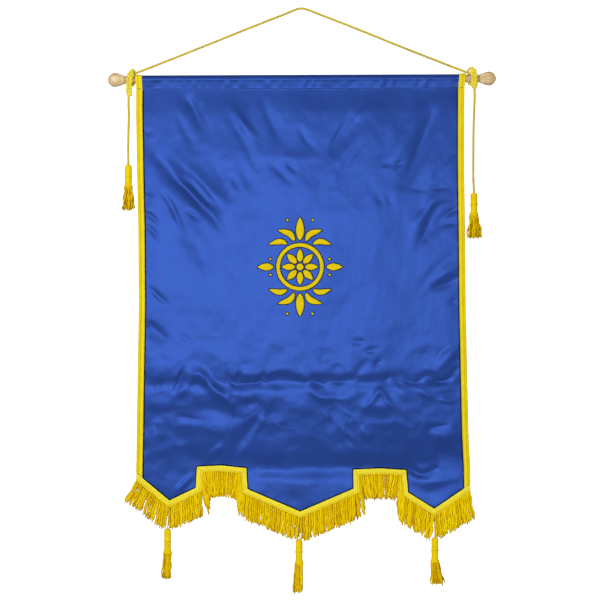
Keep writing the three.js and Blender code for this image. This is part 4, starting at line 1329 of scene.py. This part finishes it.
def add_leaf(threads, edging, form, turn, hand=1):
    """A padded leaf turned about the centre, or its mirror image where the hand is -1"""
    spine, width = form
    middle = through([polar(radius, turn + hand * off) for radius, off in spine], LEAF_STEP)
    run = unit(np.gradient(middle, axis=0))
    side = np.stack([-run[:, 1], run[:, 0]], axis=1)[:, None]
    t = np.linspace(0, 1, len(middle))
    half = 0.5 * width * np.maximum(0.04, np.sin(math.pi * t**0.85) ** 0.75)[:, None]
    across = np.linspace(-1, 1, 11)
    body = np.sqrt(np.maximum(0, 1 - across**2)) * (0.72 + 0.28 * np.minimum(1, np.abs(across) / 0.25))
    height = EMBLEM_BASE + EMBLEM_RAISED * body * np.minimum(1, half / 0.003)
    slanted = LEAF_STEP * np.arange(len(middle))[:, None] + 0.5 * np.abs(half * across)
    threads.grid(on_cloth(middle[:, None] + side * (half * across)[..., None], height), slanted)
    wide = middle[:, None] + side * ((half + RIM_OUT) * np.array([-1, 1]))[..., None]
    add_rim(edging, np.vstack([wide[:, 0], wide[::-1, 1]]))


def add_hoop(threads, edging, centre, radius, width):
    angle = full_turn(max(20, round(radius / 0.0003)))
    round_it = np.stack([np.sin(angle), np.cos(angle)], axis=1)
    across = np.linspace(-1, 1, 9)
    flat = centre + (radius + 0.5 * width * across)[:, None] * round_it[:, None]
    height = EMBLEM_BASE + EMBLEM_RAISED * np.sqrt(np.maximum(0, 1 - across**2))
    threads.grid(on_cloth(flat, height)[:, ::-1], radius * angle[:, None], down=True)
    for reach in (radius - 0.5 * width - RIM_OUT, radius + 0.5 * width + RIM_OUT):
        if reach > 0:
            add_rim(edging, centre + reach * round_it)


def make_embroidery():
    layers = Shape(), Shape()
    add_hoop(*layers, EMBLEM_CENTRE, *RING)
    add_hoop(*layers, EMBLEM_CENTRE, *EYE)
    for turn in range(0, 360, 45):
        add_leaf(*layers, PETAL, turn)
    for turn in (0, 180):
        add_leaf(*layers, TALL_LEAF, turn)
        for hand in (-1, 1):
            add_leaf(*layers, INNER_LEAF, turn, hand)
            add_leaf(*layers, OUTER_LEAF, turn, hand)
            add_hoop(*layers, polar(TALL_BEADS_AT, turn + BEAD_TURN * hand), *BEAD)
    for turn in (-90, 90):
        add_leaf(*layers, SIDE_LEAF, turn)
        for hand in (-1, 1):
            add_hoop(*layers, polar(SIDE_BEADS_AT, turn + BEAD_TURN * hand), *BEAD)
    threads, edging = layers
    threads.piece("embroidery", EMBROIDERY, "yarn")
    edging.piece("embroidery_edging", DARK_THREAD_AND_SHADE, "satin")


# Seams, and lines of painted shade beside the ribbons and headings


def sew_ribbons(gold, dark):
    ribbons = []
    for side in SIDES:
        ribbon, lines, edge = make_ribbon(side)
        ribbons.append(ribbon)
        # Painted shade: a dark tube beside the ribbon
        dark.tube(edge, SHADE_LINE_RADIUS, ROUND_SECTION)
        for line in lines:
            stitches(gold, line - np.array([0, RIBBON_THICKNESS / 2, 0]), *RIBBON_STITCH)
    return ribbons


def sew_fringes(gold, dark):
    cuts = [0, *[i for i, corner in enumerate(LOWER_EDGE) if corner.cut], len(LOWER_EDGE) - 1]
    fringes = []
    for name, first, last in zip(FRINGES, cuts, cuts[1:]):
        heading, line, edge = make_heading(name, first, last)
        # Painted shade: a dark tube along the heading's upper edge, between the ribbons
        between = edge[:, 0] > side_x("left", edge[:, 2]) + RIBBON_WIDTH
        between &= edge[:, 0] < side_x("right", edge[:, 2]) - RIBBON_WIDTH
        dark.tube(edge[between], SHADE_LINE_RADIUS, ROUND_SECTION)
        fringes += [heading, make_fringe(name, first, last)]
        stitches(gold, line - np.array([0, HEADING_THICKNESS / 2, 0]), *HEADING_STITCH)
    return fringes


def sew_pocket(dark):
    ends = [float(side_x(side, SEAM_LEVEL)) for side in SIDES]
    x = np.linspace(ends[0] + CLOTH_INSET, ends[1] - CLOTH_INSET, 200)
    over_ribbon = np.minimum(x - x[0], x[-1] - x) < RIBBON_WIDTH
    y = np.where(over_ribbon, -IN_FRONT_OF_CLOTH - RIBBON_THICKNESS / 2, -CLOTH_THICKNESS / 2)
    seam = np.stack([x, y - SEAM_FORWARD - SEAM_THREAD_OUT, rod_z(x) - SEAM_DROP], axis=1)
    stitches(dark, seam, *SEAM_STITCH, SEAM_THREAD)


# The banner

make_camera()
make_surroundings()
for side in SIDES:
    make_knot(side)
make_cord("cord_raised", "cord_span", SPAN_ROUTE)
make_cord("cord_end_left", "cord_tail_left", TAIL_LEFT_ROUTE)
make_cord("cord_end_right", "cord_tail_right", TAIL_RIGHT_ROUTE)
make_rod()
for side in SIDES:
    make_finial(side)

cloth, cloth_flat, cloth_area = make_cloth()
gold = Shape()
dark = Shape()
sewn_on = [*sew_ribbons(gold, dark), *sew_fringes(gold, dark)]
sew_pocket(dark)
sewn_on.append(gold.piece("gold_stitches", GOLD_THREAD, "yarn"))
# The dark piece holds the pocket's seam stitches and the lines of painted shade
sewn_on.append(dark.piece("dark_stitches_and_shade_lines", DARK_THREAD_AND_SHADE, "satin"))
make_embroidery()

for tassel in POINT_TASSELS:
    string = point_string(tassel)
    make_tassel(tassel, string[0][1], string)
for tassel in CORD_TASSELS:
    make_tassel(tassel, CORD_TASSEL_Y)
